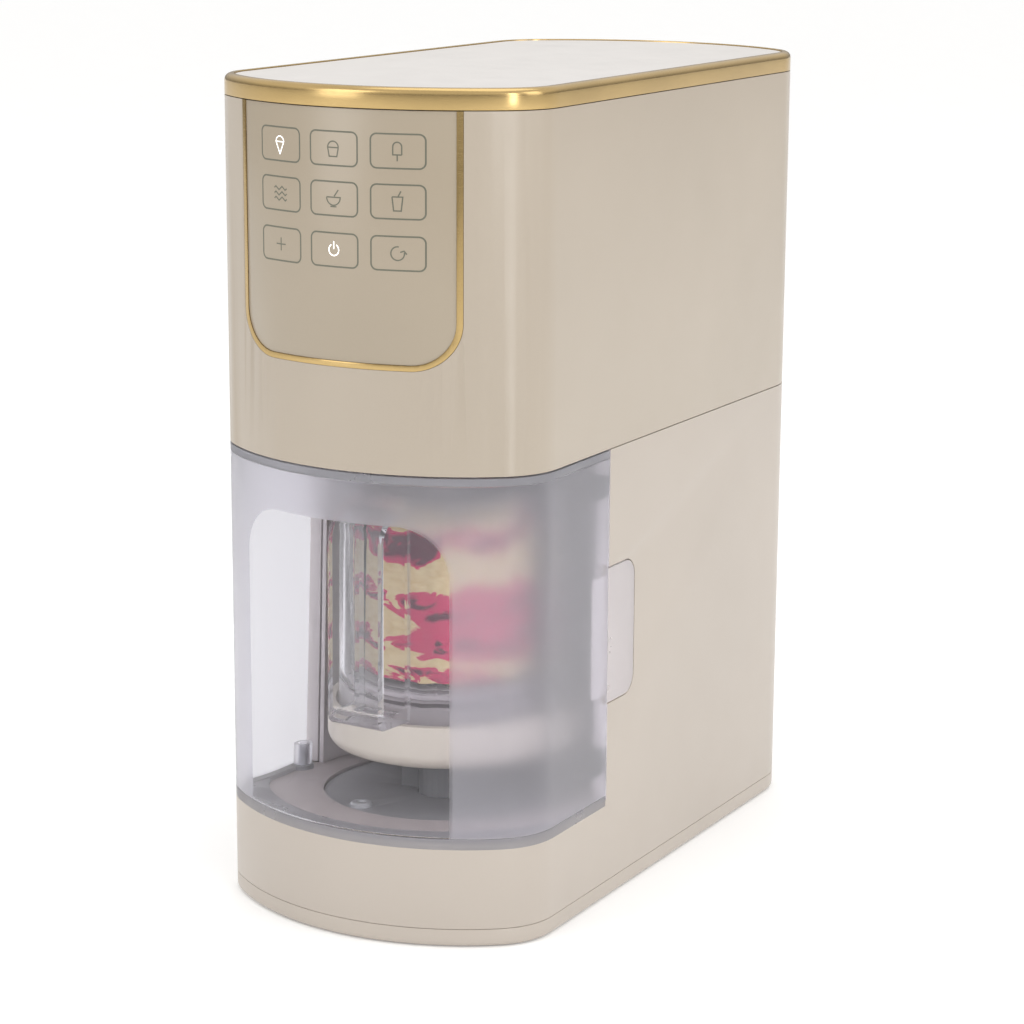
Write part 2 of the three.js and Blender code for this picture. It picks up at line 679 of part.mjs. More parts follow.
// Materials, one per finish.
const finishes = {
  cream: [0xd3c8ba, 0.35, 0],
  fasciaTan: [0xbeb29e, 0.3, 0.1],
  offWhite: [0xe8e4de, 0.3, 0],
  gold: [0xc8a050, 0.3, 1],
  smoke: [0xb8b8c0, 0.45, 0],
  grey: [0xa0a0a6, 0.5, 0],
  dark: [0x67666a, 0.5, 0],
  black: [0x1d1d1f, 0.6, 0],
  clear: [0xe6ecf0, 0.1, 0],
  iceCream: [0xdec8a0, 0.7, 0],
  steel: [0xb9bcc0, 0.3, 1],
  brass: [0xb5954a, 0.35, 1],
  nylon: [0xe6e2d6, 0.5, 0],
  boardGreen: [0x1f5a3a, 0.5, 0],
};

const object = new THREE.Group();

function add(name, finish, piece) {
  const mesh = piece.asOriginal().simplify(0.02).getMesh();
  const geometry = new THREE.BufferGeometry();
  geometry.setAttribute('position', new THREE.BufferAttribute(new Float32Array(mesh.vertProperties), 3));
  geometry.setIndex(new THREE.BufferAttribute(new Uint32Array(mesh.triVerts), 1));
  geometry.computeVertexNormals();
  const [color, roughness, metalness] = finishes[finish];
  const node = new THREE.Mesh(geometry, new THREE.MeshStandardMaterial({ color, roughness, metalness }));
  node.name = name;
  object.add(node);
}

add('bottom_cover', 'cream', bottomCover());
footPlaces.forEach(([x, y], i) => add(`foot_${i + 1}`, 'black', foot(x, y)));
screwPlaces.forEach(([x, y], i) => add(`bottom_screw_${i + 1}`, 'steel', bottomScrew(x, y)));
add('lower_body', 'cream', lowerBody());
add('cord_bush', 'black', cordBush());
add('chamber_liner', 'grey', chamberLiner());
add('floor_tray', 'grey', floorTray());
add('floor_disc', 'dark', floorDisc());
add('lift_cam', 'nylon', liftCam());
add('lift_column', 'dark', liftColumn());
add('platform_stem', 'steel', platformStem());
add('jar_platform', 'cream', jarPlatform());
add('jar', 'clear', jar());
add('tub', 'clear', tub());
add('tub_contents', 'iceCream', tubContents());
add('jar_lid', 'smoke', jarLid());
add('blade', 'nylon', blade());
add('spindle', 'steel', spindle());
add('spindle_bearing', 'brass', spindleBearing());
add('spindle_bush', 'brass', spindleBush());
add('lid_dock', 'grey', lidDock());
add('upper_housing', 'cream', upperHousing());
add('fascia_frame', 'gold', fasciaFrame());
add('fascia', 'fasciaTan', fascia());
add('touch_board', 'boardGreen', touchBoard());
add('power_board', 'boardGreen', powerBoard());
add('vent_grille', 'cream', ventGrille());
add('trim_ring', 'gold', trimRing());
add('top_cover', 'offWhite', topCover());
add('gear_deck', 'steel', gearDeck());
add('drive_gear', 'nylon', driveGear());
add('motor_pinion', 'brass', motorPinion());
add('motor_bracket', 'steel', motorBracket());
add('motor_can', 'steel', motorCan());
add('motor_rotor', 'steel', motorRotor());
add('motor_fan', 'black', motorFan());
add('feed_carriage', 'grey', feedCarriage());
add('guide_rod_left', 'steel', guideRod(-rodX));
add('guide_rod_right', 'steel', guideRod(rodX));
add('feed_screw', 'steel', feedScrew());
add('screw_gear', 'nylon', feedScrewGear());
add('feed_pinion', 'brass', feedPinion());
add('feed_motor', 'black', feedMotor());
add('rod_bridge', 'steel', rodBridge());
add('door_shell', 'smoke', doorShell());
add('door_rim', 'smoke', doorRim());
add('door_top_rail', 'dark', doorTopRail());
add('door_grip', 'clear', doorGrip());
magnetLevels.forEach((levels, i) => add(`door_magnet_${i + 1}`, 'black', doorMagnet(levels)));
magnetLevels.forEach((levels, i) => add(`catch_plate_${i + 1}`, 'steel', catchPlate(levels)));
add('hinge_pin_lower', 'steel', hingePin(40, rimTop + 8));
add('hinge_pin_upper', 'steel', hingePin(railBottom - 12, 229));

export default object;
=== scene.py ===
import math

import bpy
from mathutils import Matrix, Vector


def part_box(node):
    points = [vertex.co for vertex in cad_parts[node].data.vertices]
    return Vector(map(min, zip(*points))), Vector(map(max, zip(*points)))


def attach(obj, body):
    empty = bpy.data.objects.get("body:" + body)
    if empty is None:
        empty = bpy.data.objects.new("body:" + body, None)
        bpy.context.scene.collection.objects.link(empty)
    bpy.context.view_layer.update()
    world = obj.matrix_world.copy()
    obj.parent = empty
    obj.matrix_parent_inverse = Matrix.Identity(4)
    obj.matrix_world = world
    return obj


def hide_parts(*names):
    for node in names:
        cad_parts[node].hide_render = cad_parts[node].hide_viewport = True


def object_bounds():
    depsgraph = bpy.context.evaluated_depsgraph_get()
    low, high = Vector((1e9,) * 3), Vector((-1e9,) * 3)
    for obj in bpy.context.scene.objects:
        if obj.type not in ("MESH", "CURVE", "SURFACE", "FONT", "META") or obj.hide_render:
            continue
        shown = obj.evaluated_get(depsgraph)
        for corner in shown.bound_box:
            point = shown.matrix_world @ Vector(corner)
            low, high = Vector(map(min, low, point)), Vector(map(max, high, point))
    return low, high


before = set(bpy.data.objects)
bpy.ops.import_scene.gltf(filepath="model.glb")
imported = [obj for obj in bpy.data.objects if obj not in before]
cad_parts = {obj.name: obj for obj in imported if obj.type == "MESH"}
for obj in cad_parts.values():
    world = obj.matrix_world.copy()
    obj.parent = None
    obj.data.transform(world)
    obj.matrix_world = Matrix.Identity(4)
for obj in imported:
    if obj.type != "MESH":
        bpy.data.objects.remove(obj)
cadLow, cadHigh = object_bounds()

mm = 0.001
upward = (0, 0, 1)

# the body's plan, shared by every shell: straight sides, bowed ends, round corners
plan = {
    "halfWidth": cadHigh.x,
    "halfDepth": cadHigh.y,
    "bow": 37 * mm,
    "corner": 34 * mm,
    "cornerSteps": 12,
    "bowSteps": 40,
}
bowRadius = (plan["halfWidth"] ** 2 + plan["bow"] ** 2) / (2 * plan["bow"])
bowCentre = plan["halfDepth"] - bowRadius
cornerX = plan["halfWidth"] - plan["corner"]
cornerY = bowCentre + math.sqrt((bowRadius - plan["corner"]) ** 2 - cornerX ** 2)
cornerTurn = math.degrees(math.atan2(cornerY - bowCentre, cornerX))
bowTurn = 180 - 2 * cornerTurn

# levels and places that several pieces share, read from the frame
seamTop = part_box("upper_housing")[0].z      # under side of the drive housing
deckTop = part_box("floor_tray")[1].z         # the base's top inside the door
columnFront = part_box("chamber_liner")[0].y  # front face of the rear column
jarY = (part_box("jar_platform")[0].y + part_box("jar_platform")[1].y) / 2
pinX = (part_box("hinge_pin_lower")[0].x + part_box("hinge_pin_lower")[1].x) / 2
pinY = (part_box("hinge_pin_lower")[0].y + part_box("hinge_pin_lower")[1].y) / 2


# small tools for working as at the screen
def leaveEdit():
    if bpy.context.object and bpy.context.object.mode != "OBJECT":
        bpy.ops.object.mode_set(mode="OBJECT")
    bpy.ops.object.select_all(action="DESELECT")


def makeActive(piece):
    leaveEdit()
    piece.select_set(True)
    bpy.context.view_layer.objects.active = piece


def edit(kind="VERT"):
    bpy.ops.object.mode_set(mode="EDIT")
    bpy.ops.mesh.select_mode(type=kind)


def pick(piece, kind, test):
    # selects by the middle of each face or edge, and leaves edit mode open
    makeActive(piece)
    edit(kind)
    bpy.ops.mesh.select_all(action="DESELECT")
    bpy.ops.object.mode_set(mode="OBJECT")
    mesh = piece.data
    if kind == "FACE":
        for face in mesh.polygons:
            face.select = bool(test(face.center, face.normal))
    else:
        points = [v.co for v in mesh.vertices]
        for side in mesh.edges:
            a, b = (points[i] for i in side.vertices)
            side.select = bool(test((a + b) / 2, b - a))
    bpy.ops.object.mode_set(mode="EDIT")


def settle(piece):
    # place, turn and size go into the mesh
    makeActive(piece)
    bpy.ops.object.transform_apply(location=True, rotation=True, scale=True)
    return piece


def trace(name, start, moves, close=True):
    # a line drawn from point to point and round arcs, as extruded and spun vertices
    leaveEdit()
    bpy.ops.mesh.primitive_plane_add(size=mm, location=start)
    piece = bpy.context.object
    piece.name = name
    edit()
    bpy.ops.mesh.select_all(action="SELECT")
    bpy.ops.mesh.merge(type="CENTER")
    here = Vector(start)
    for move in moves:
        if len(move) == 3:
            bpy.ops.mesh.extrude_region_move(TRANSFORM_OT_translate={"value": Vector(move) - here})
            here = Vector(move)
            continue
        centre, axis, degrees, steps = move
        turn = math.radians(degrees)
        bpy.ops.mesh.spin(steps=steps, angle=-turn, center=centre, axis=axis)
        here = Vector(centre) + Matrix.Rotation(turn, 3, Vector(axis)) @ (here - Vector(centre))
    bpy.ops.mesh.select_all(action="SELECT")
    if close:
        bpy.ops.mesh.remove_doubles(threshold=0.02 * mm)
    return settle(piece)


def planLine(name, z, inset=0.0, sideStops=()):
    # the whole outline at one level; sideStops puts extra points on the straight sides
    wide = plan["halfWidth"] - inset
    rightStops = [(wide, y, z) for y in sideStops]
    leftStops = [(-wide, y, z) for y in reversed(sideStops)]
    corner = plan["cornerSteps"]
    bow = plan["bowSteps"]
    return trace(name, (wide, -cornerY, z), [
        *rightStops, (wide, cornerY, z),
        ((cornerX, cornerY, z), upward, cornerTurn, corner),
        ((0, bowCentre, z), upward, bowTurn, bow),
        ((-cornerX, cornerY, z), upward, cornerTurn, corner),
        *leftStops, (-wide, -cornerY, z),
        ((-cornerX, -cornerY, z), upward, cornerTurn, corner),
        ((0, -bowCentre, z), upward, bowTurn, bow),
        ((cornerX, -cornerY, z), upward, cornerTurn, corner),
    ])


def frontLine(name, z, rightEnd, leftEnd, inset=0.0):
    # the outline's front part only, from the right side's rear end round to the left's
    wide = plan["halfWidth"] - inset
    corner = plan["cornerSteps"]
    return trace(name, (wide, rightEnd, z), [
        (wide, -cornerY, z),
        ((cornerX, -cornerY, z), (0, 0, -1), cornerTurn, corner),
        ((0, -bowCentre, z), (0, 0, -1), bowTurn, plan["bowSteps"]),
        ((-cornerX, -cornerY, z), (0, 0, -1), cornerTurn, corner),
        (-wide, leftEnd, z),
    ], close=False)


def extrudeAll(piece, offset, fill=False):
    makeActive(piece)
    edit("EDGE")
    bpy.ops.mesh.select_all(action="SELECT")
    if fill:
        bpy.ops.mesh.edge_face_add()
    bpy.ops.mesh.extrude_region_move(TRANSFORM_OT_translate={"value": offset})
    bpy.ops.mesh.select_all(action="SELECT")
    bpy.ops.mesh.normals_make_consistent(inside=False)
    leaveEdit()
    return piece


def useModifier(piece, kind, **settings):
    makeActive(piece)
    modifier = piece.modifiers.new(kind.lower(), kind)
    for key, value in settings.items():
        setattr(modifier, key, value)
    bpy.ops.object.modifier_apply(modifier=modifier.name)
    return piece


def thicken(piece, thickness):
    return useModifier(piece, "SOLIDIFY", thickness=thickness, offset=-1, use_even_offset=True)


def carve(piece, cutter, how="DIFFERENCE"):
    useModifier(piece, "BOOLEAN", object=cutter, operation=how, solver="EXACT")
    bpy.data.objects.remove(cutter)
    return piece


def block(name, low, high):
    leaveEdit()
    middle = [(a + b) / 2 for a, b in zip(low, high)]
    size = [b - a for a, b in zip(low, high)]
    bpy.ops.mesh.primitive_cube_add(size=1, location=middle, scale=size)
    piece = bpy.context.object
    piece.name = name
    return settle(piece)


def rod(name, x, y, radius, z0, z1, sides=64, turn=(0, 0, 0)):
    leaveEdit()
    bpy.ops.mesh.primitive_cylinder_add(vertices=sides, radius=radius, depth=z1 - z0,
                                        location=(x, y, (z0 + z1) / 2), rotation=turn)
    piece = bpy.context.object
    piece.name = name
    return settle(piece)


def turned(name, profile, x=0.0, y=None, steps=128):
    # a profile of [radius, z] spun about an upright line; it starts and ends on that line, or closes
    y = jarY if y is None else y
    first, *others = [(x + r, y, z) for r, z in profile]
    onAxis = profile[0][0] == 0 and profile[-1][0] == 0
    piece = trace(name, first, others if onAxis else [*others, first])
    makeActive(piece)
    edit()
    bpy.ops.mesh.select_all(action="SELECT")
    bpy.ops.mesh.spin(steps=steps, angle=2 * math.pi, center=(x, y, 0), axis=upward)
    bpy.ops.mesh.select_all(action="SELECT")
    bpy.ops.mesh.remove_doubles(threshold=0.005 * mm)
    bpy.ops.mesh.normals_make_consistent(inside=False)
    leaveEdit()
    return piece


def softenEdges(piece, width, segments=3, angle=35, smooth=40):
    useModifier(piece, "BEVEL", width=width, segments=segments, limit_method="ANGLE",
                angle_limit=math.radians(angle), use_clamp_overlap=True, harden_normals=False)
    return smoothOver(piece, smooth)


def smoothOver(piece, smooth=40):
    makeActive(piece)
    bpy.ops.object.shade_smooth_by_angle(angle=math.radians(smooth))
    return piece


def finishPiece(piece, material, body, nodes=()):
    piece.data.materials.clear()
    piece.data.materials.append(material)
    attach(piece, body)
    if nodes:
        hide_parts(*nodes)
    return piece


def dressFaces(piece, material, test):
    # a second finish on some faces of a finished piece
    piece.data.materials.append(material)
    pick(piece, "FACE", test)
    piece.active_material_index = len(piece.data.materials) - 1
    bpy.ops.object.material_slot_assign()
    leaveEdit()


# materials
def startMaterial(name, color, roughness, **inputs):
    material = bpy.data.materials.new(name)
    material.use_nodes = True
    shader = material.node_tree.nodes["Principled BSDF"]
    shader.inputs["Base Color"].default_value = (*color, 1)
    shader.inputs["Roughness"].default_value = roughness
    for key, value in inputs.items():
        shader.inputs[key.replace("_", " ")].default_value = value
    return material, material.node_tree.nodes, material.node_tree.links, shader


def coords(nodes, links, stretch=(1, 1, 1)):
    where = nodes.new("ShaderNodeTexCoord")
    mapping = nodes.new("ShaderNodeMapping")
    mapping.inputs["Scale"].default_value = stretch
    links.new(where.outputs["Object"], mapping.inputs["Vector"])
    return mapping.outputs["Vector"]


def noise(nodes, links, place, scale, detail=3.0, distortion=0.0):
    texture = nodes.new("ShaderNodeTexNoise")
    texture.inputs["Scale"].default_value = scale
    texture.inputs["Detail"].default_value = detail
    texture.inputs["Distortion"].default_value = distortion
    links.new(place, texture.inputs["Vector"])
    return texture.outputs["Fac"]


def spread(nodes, links, value, low, high, fromLow=0.3, fromHigh=0.7):
    # carries a 0 to 1 pattern onto another range
    ranger = nodes.new("ShaderNodeMapRange")
    ranger.inputs["From Min"].default_value = fromLow
    ranger.inputs["From Max"].default_value = fromHigh
    ranger.inputs["To Min"].default_value = low
    ranger.inputs["To Max"].default_value = high
    links.new(value, ranger.inputs["Value"])
    return ranger.outputs["Result"]


def mixColors(nodes, links, share, first, second):
    mixer = nodes.new("ShaderNodeMix")
    mixer.data_type = "RGBA"
    links.new(share, mixer.inputs["Factor"])
    for socket, value in ((mixer.inputs["A"], first), (mixer.inputs["B"], second)):
        if isinstance(value, tuple):
            socket.default_value = (*value, 1)
        else:
            links.new(value, socket)
    return mixer.outputs["Result"]


def bump(nodes, links, height, strength, distance, shader):
    node = nodes.new("ShaderNodeBump")
    node.inputs["Strength"].default_value = strength
    node.inputs["Distance"].default_value = distance
    links.new(height, node.inputs["Height"])
    links.new(node.outputs["Normal"], shader.inputs["Normal"])


def mouldedPlastic(name, color, roughness=0.4, vary=0.05, grain=1400, grainDepth=0.02, **inputs):
    # moulded plastic: slow colour drift, uneven gloss and a fine spark-eroded grain
    material, nodes, links, shader = startMaterial(name, color, roughness, **inputs)
    place = coords(nodes, links)
    drift = noise(nodes, links, place, 14, 2)
    lighter = tuple(min(1, c * (1 + vary)) for c in color)
    darker = tuple(c * (1 - vary) for c in color)
    share = spread(nodes, links, drift, 0, 1)
    links.new(mixColors(nodes, links, share, darker, lighter), shader.inputs["Base Color"])
    patches = noise(nodes, links, place, 60, 4)
    links.new(spread(nodes, links, patches, roughness * 0.88, roughness * 1.12), shader.inputs["Roughness"])
    grainHeight = noise(nodes, links, place, grain, 2)
    bump(nodes, links, grainHeight, grainDepth, 0.3 * mm, shader)
    return material


def pearlPaint(name, color, roughness=0.34):
    # satin pearl lacquer: fine flakes whose glint is painted as lighter specks in the base colour, and a
    # faint orange peel
    material, nodes, links, shader = startMaterial(
        name, color, roughness, Coat_Weight=0.25, Coat_Roughness=0.22, Specular_IOR_Level=0.5)
    place = coords(nodes, links)
    drift = noise(nodes, links, place, 9, 2)
    flakes = nodes.new("ShaderNodeTexVoronoi")
    flakes.inputs["Scale"].default_value = 2600
    links.new(place, flakes.inputs["Vector"])
    lighter = tuple(min(1, c * 1.035) for c in color)
    darker = tuple(c * 0.975 for c in color)
    slow = mixColors(nodes, links, spread(nodes, links, drift, 0, 1), darker, lighter)
    # painted glint: the flakes are lighter specks in the base colour
    bright = tuple(min(1, c * 1.09) for c in color)
    flakeGlintShare = spread(nodes, links, flakes.outputs["Distance"], 0.45, 0, 0, 0.55)
    links.new(mixColors(nodes, links, flakeGlintShare, slow, bright), shader.inputs["Base Color"])
    patches = noise(nodes, links, place, 45, 3)
    links.new(spread(nodes, links, patches, roughness * 0.92, roughness * 1.1), shader.inputs["Roughness"])
    peel = noise(nodes, links, place, 420, 2)
    bump(nodes, links, peel, 0.035, 0.25 * mm, shader)
    return material


def satinMetal(name, color, roughness=0.3, stretch=(1, 1, 30), scale=260, depth=0.05):
    # plated or drawn metal: fine lines along the piece and soft rubbed patches
    material, nodes, links, shader = startMaterial(name, color, roughness, Metallic=1.0)
    lines = noise(nodes, links, coords(nodes, links, stretch), scale, 4)
    place = coords(nodes, links)
    rubbed = noise(nodes, links, place, 30, 3)
    darker = tuple(c * 0.9 for c in color)
    links.new(mixColors(nodes, links, spread(nodes, links, rubbed, 0, 1), darker, color),
              shader.inputs["Base Color"])
    links.new(spread(nodes, links, lines, roughness * 0.75, roughness * 1.25), shader.inputs["Roughness"])
    bump(nodes, links, lines, depth, 0.1 * mm, shader)
    return material


def letLightIn(material, tint):
    # shadows pass through clear pieces, so that the chamber behind them isn't dark
    nodes, links = material.node_tree.nodes, material.node_tree.links
    shader = nodes["Principled BSDF"]
    path = nodes.new("ShaderNodeLightPath")
    clear = nodes.new("ShaderNodeBsdfTransparent")
    clear.inputs["Color"].default_value = (*tint, 1)
    mixer = nodes.new("ShaderNodeMixShader")
    links.new(path.outputs["Is Shadow Ray"], mixer.inputs["Fac"])
    links.new(shader.outputs["BSDF"], mixer.inputs[1])
    links.new(clear.outputs["BSDF"], mixer.inputs[2])
    links.new(mixer.outputs["Shader"], nodes["Material Output"].inputs["Surface"])


def clearPlastic(name, color, roughness=0.03, ior=1.46, waves=0.02, through=1.0):
    material, nodes, links, shader = startMaterial(
        name, color, roughness, IOR=ior, Transmission_Weight=through)
    place = coords(nodes, links)
    smears = noise(nodes, links, place, 35, 4)
    links.new(spread(nodes, links, smears, roughness * 0.5, roughness * 1.8), shader.inputs["Roughness"])
    swell = noise(nodes, links, place, 70, 2)
    bump(nodes, links, swell, waves, 0.4 * mm, shader)
    letLightIn(material, tuple(0.5 + 0.5 * c for c in color))
    return material


def frostedDoor(name, window):
    # one smoky moulding, frosted all over but for the polished window
    material, nodes, links, shader = startMaterial(name, (0.72, 0.72, 0.77), 0.4, IOR=1.25)
    place = coords(nodes, links)
    split = nodes.new("ShaderNodeSeparateXYZ")
    links.new(place, split.inputs["Vector"])

    def combine(operation, first, second=0.0):
        node = nodes.new("ShaderNodeMath")
        node.operation = operation
        for socket, value in zip(node.inputs, (first, second)):
            if isinstance(value, (int, float)):
                socket.default_value = value
            else:
                links.new(value, socket)
        return node.outputs["Value"]

    # distance outside a rounded rectangle in x and z, which has no lower edge
    bend = window["corner"]
    middle = (window["left"] + window["right"]) / 2
    half = (window["right"] - window["left"]) / 2
    aside = combine("ABSOLUTE", combine("SUBTRACT", split.outputs["X"], middle))
    across = combine("MAXIMUM", combine("SUBTRACT", aside, half - bend), 0.0)
    above = combine("MAXIMUM", combine("SUBTRACT", split.outputs["Z"], window["top"] - bend), 0.0)
    squares = combine("ADD", combine("MULTIPLY", across, across), combine("MULTIPLY", above, above))
    away = combine("SQRT", squares)
    edge = nodes.new("ShaderNodeMapRange")
    edge.inputs["From Min"].default_value = bend - 0.15 * mm
    edge.inputs["From Max"].default_value = bend + 0.15 * mm
    links.new(away, edge.inputs["Value"])
    frosted = edge.outputs["Result"]
    links.new(mixColors(nodes, links, frosted, (0.97, 0.975, 0.98), (0.80, 0.79, 0.835)),
              shader.inputs["Base Color"])
    cloud = spread(nodes, links, noise(nodes, links, place, 120, 3), 0.3, 0.335)
    links.new(combine("ADD", combine("MULTIPLY", frosted, cloud), 0.015), shader.inputs["Roughness"])
    milky = combine("MULTIPLY", frosted, 0.11)     # the share of light that the frost scatters as paint does
    links.new(combine("SUBTRACT", 1.0, milky), shader.inputs["Transmission Weight"])
    grain = noise(nodes, links, place, 2400, 3)
    bump(nodes, links, combine("MULTIPLY", frosted, grain), 0.05, 0.1 * mm, shader)
    letLightIn(material, (0.97, 0.97, 0.98))
    return material


def iceCream(name):
    # vanilla with folded ribbons of berry sauce, darker where the sauce is thick, with painted shade in the
    # hollows of its ridges
    cream = (0.83, 0.66, 0.37)
    material, nodes, links, shader = startMaterial(
        name, cream, 0.5, Subsurface_Weight=0.12, Subsurface_Scale=0.003, Specular_IOR_Level=0.4)
    place = coords(nodes, links, (1, 1, 2.1))
    folds = nodes.new("ShaderNodeTexWave")
    folds.bands_direction = "Z"
    folds.inputs["Scale"].default_value = 6.2
    folds.inputs["Distortion"].default_value = 9
    folds.inputs["Detail"].default_value = 3
    folds.inputs["Detail Scale"].default_value = 1.7
    folds.inputs["Detail Roughness"].default_value = 0.6
    folds.inputs["Phase Offset"].default_value = 0.7
    links.new(place, folds.inputs["Vector"])
    blotch = spread(nodes, links, noise(nodes, links, place, 42, 5, 1.4), 0.2, 1.3, 0.36, 0.62)
    joined = nodes.new("ShaderNodeMath")
    joined.operation = "MULTIPLY"
    links.new(folds.outputs["Fac"], joined.inputs[0])
    links.new(blotch, joined.inputs[1])
    # a pool of sauce at the front right of the tub
    pool = nodes.new("ShaderNodeVectorMath")
    pool.operation = "DISTANCE"
    pool.inputs[1].default_value = (39 * mm, -98 * mm, 2.1 * 138 * mm)
    links.new(place, pool.inputs[0])
    poolShare = spread(nodes, links, pool.outputs["Value"], 0.9, 0, 14 * mm, 58 * mm)
    summed = nodes.new("ShaderNodeMath")
    summed.operation = "ADD"
    links.new(joined.outputs["Value"], summed.inputs[0])
    links.new(poolShare, summed.inputs[1])
    sauce = spread(nodes, links, summed.outputs["Value"], 0, 1, 0.44, 0.5)
    thick = spread(nodes, links, joined.outputs["Value"], 0, 1, 0.6, 0.95)
    ridges = noise(nodes, links, place, 180, 4)
    # painted shade: the vanilla is darker in the ridges' hollows and lighter on their crests, by the noise
    # that also makes the bump
    ridgeShadeShare = spread(nodes, links, ridges, 0, 1)
    vanilla = mixColors(nodes, links, ridgeShadeShare, (0.70, 0.50, 0.24), (0.85, 0.68, 0.40))
    berry = mixColors(nodes, links, thick, (0.66, 0.015, 0.13), (0.12, 0.006, 0.04))
    links.new(mixColors(nodes, links, sauce, vanilla, berry), shader.inputs["Base Color"])
    links.new(spread(nodes, links, sauce, 0.6, 0.25, 0, 1), shader.inputs["Roughness"])
    bump(nodes, links, ridges, 0.25, 0.8 * mm, shader)
    return material


def litKey(name):
    # a key's print that glows from behind
    material, nodes, links, shader = startMaterial(name, (0.95, 0.95, 0.92), 0.5, Emission_Strength=1.1)
    shader.inputs["Emission Color"].default_value = (1, 0.99, 0.95, 1)
    patches = noise(nodes, links, coords(nodes, links), 300, 2)
    links.new(spread(nodes, links, patches, 0.45, 0.6), shader.inputs["Roughness"])
    return material


doorWindow = {"left": -59.3 * mm, "right": 53 * mm, "top": 201.6 * mm, "corner": 24 * mm}
looks = {
    "cream": pearlPaint("pearl cream", (0.398, 0.340, 0.272)),
    "lowerCream": pearlPaint("lower cream", (0.458, 0.405, 0.353), 0.4),
    "fascia": pearlPaint("fascia tan", (0.348, 0.291, 0.217), 0.3),
    "offWhite": mouldedPlastic("off white cover", (0.68, 0.65, 0.625), 0.35, 0.02, 500, 0.004),
    "gold": satinMetal("satin gold", (0.53, 0.375, 0.165), 0.22, (1, 1, 30), 260, 0.012),
    "door": frostedDoor("frosted door", doorWindow),
    "smoke": clearPlastic("smoke rim", (0.45, 0.445, 0.475), 0.4, 1.25, 0.02, 0.6),
    "grip": clearPlastic("clear grip", (0.72, 0.685, 0.69), 0.45, 1.2, 0, 0.5),
    "clear": clearPlastic("clear jar", (0.96, 0.955, 0.97), 0.04, 1.15, 0.02, 0.965),
    "tub": clearPlastic("clear tub", (0.985, 0.985, 0.99), 0.03, 1.08),
    "jarBase": clearPlastic("milky jar base", (0.62, 0.57, 0.60), 0.35, 1.15, 0.02, 0.55),
    "lid": clearPlastic("smoky lid", (0.75, 0.75, 0.8), 0.2, 1.2),
    "tray": mouldedPlastic("grey tray", (0.42, 0.375, 0.385), 0.42),
    "liner": mouldedPlastic("pale grey liner", (0.61, 0.565, 0.585), 0.45),
    "disc": mouldedPlastic("dark grey disc", (0.38, 0.375, 0.40), 0.4, 0.08),
    "column": mouldedPlastic("dark lift column", (0.19, 0.187, 0.2), 0.45, 0.08),
    "dish": mouldedPlastic("cream dish", (0.505, 0.455, 0.41), 0.35, 0.03),
    "black": mouldedPlastic("black plastic", (0.02, 0.02, 0.022), 0.5, 0.2),
    "rubber": mouldedPlastic("black rubber", (0.025, 0.025, 0.027), 0.75, 0.2, 900, 0.08),
    "nylon": mouldedPlastic("natural nylon", (0.75, 0.72, 0.64), 0.45, 0.04),
    "steel": satinMetal("bright steel", (0.56, 0.57, 0.58), 0.3, (1, 1, 25), 300, 0.04),
    "brass": satinMetal("machined brass", (0.62, 0.45, 0.18), 0.32),
    "board": mouldedPlastic("board lacquer", (0.015, 0.10, 0.045), 0.25, 0.25, 500, 0.05),
    "iceCream": iceCream("berry ripple"),
    "keyLine": mouldedPlastic("key print", (0.13, 0.13, 0.095), 0.5, 0.05),
    "lit": litKey("lit key"),
}
print("materials ready")

# camera, floor and light
shot = {"azimuth": 29.17, "elevation": 12.99, "roll": -0.3, "distance": 1.4257,
        "target": (25.46 * mm, -54.51 * mm, 185.1 * mm), "lens": 102.23,
        "lampAim": (0, -0.02, 0.2)}


def placeCamera():
    a, e = math.radians(shot["azimuth"]), math.radians(shot["elevation"])
    back = Vector((math.sin(a) * math.cos(e), -math.cos(a) * math.cos(e), math.sin(e)))
    bpy.ops.object.camera_add(location=Vector(shot["target"]) + back * shot["distance"])
    camera = bpy.context.object
    turn = (-back).to_track_quat("-Z", "Y").to_matrix()
    camera.rotation_euler = (turn @ Matrix.Rotation(math.radians(-shot["roll"]), 3, "Z")).to_euler()
    camera.data.lens = shot["lens"]
    camera.data.sensor_width = 36
    camera.data.clip_end = 20
    bpy.context.scene.camera = camera


def softLight(name, place, size, power):
    bpy.ops.object.light_add(type="AREA", location=place)
    lamp = bpy.context.object
    lamp.name = name
    lamp.data.shape = "RECTANGLE"
    lamp.data.size, lamp.data.size_y = size
    lamp.data.energy = power
    lamp.rotation_euler = (Vector(shot["lampAim"]) - Vector(place)).to_track_quat("-Z", "Y").to_euler()


leaveEdit()
placeCamera()
bpy.ops.mesh.primitive_plane_add(size=80, location=(0, 0, 0))
floor = bpy.context.object
floor.name = "floor"
floorLook = mouldedPlastic("pale floor", (0.93, 0.93, 0.93), 0.7, 0.01, 300, 0.01,
                           Emission_Color=(1, 1, 1, 1), Emission_Strength=0.12)
floor.data.materials.append(floorLook)
softLight("window left", (-0.95, -1.83, 1.0), (0.8, 1.7), 9.5)
softLight("corner strip", (1.7, -1.05, 0.7), (0.35, 1.5), 8)
softLight("right side", (1.9, 0.1, 1.1), (0.9, 1.4), 6)
softLight("top", (0, 0.2, 2.2), (1.6, 1.6), 9)


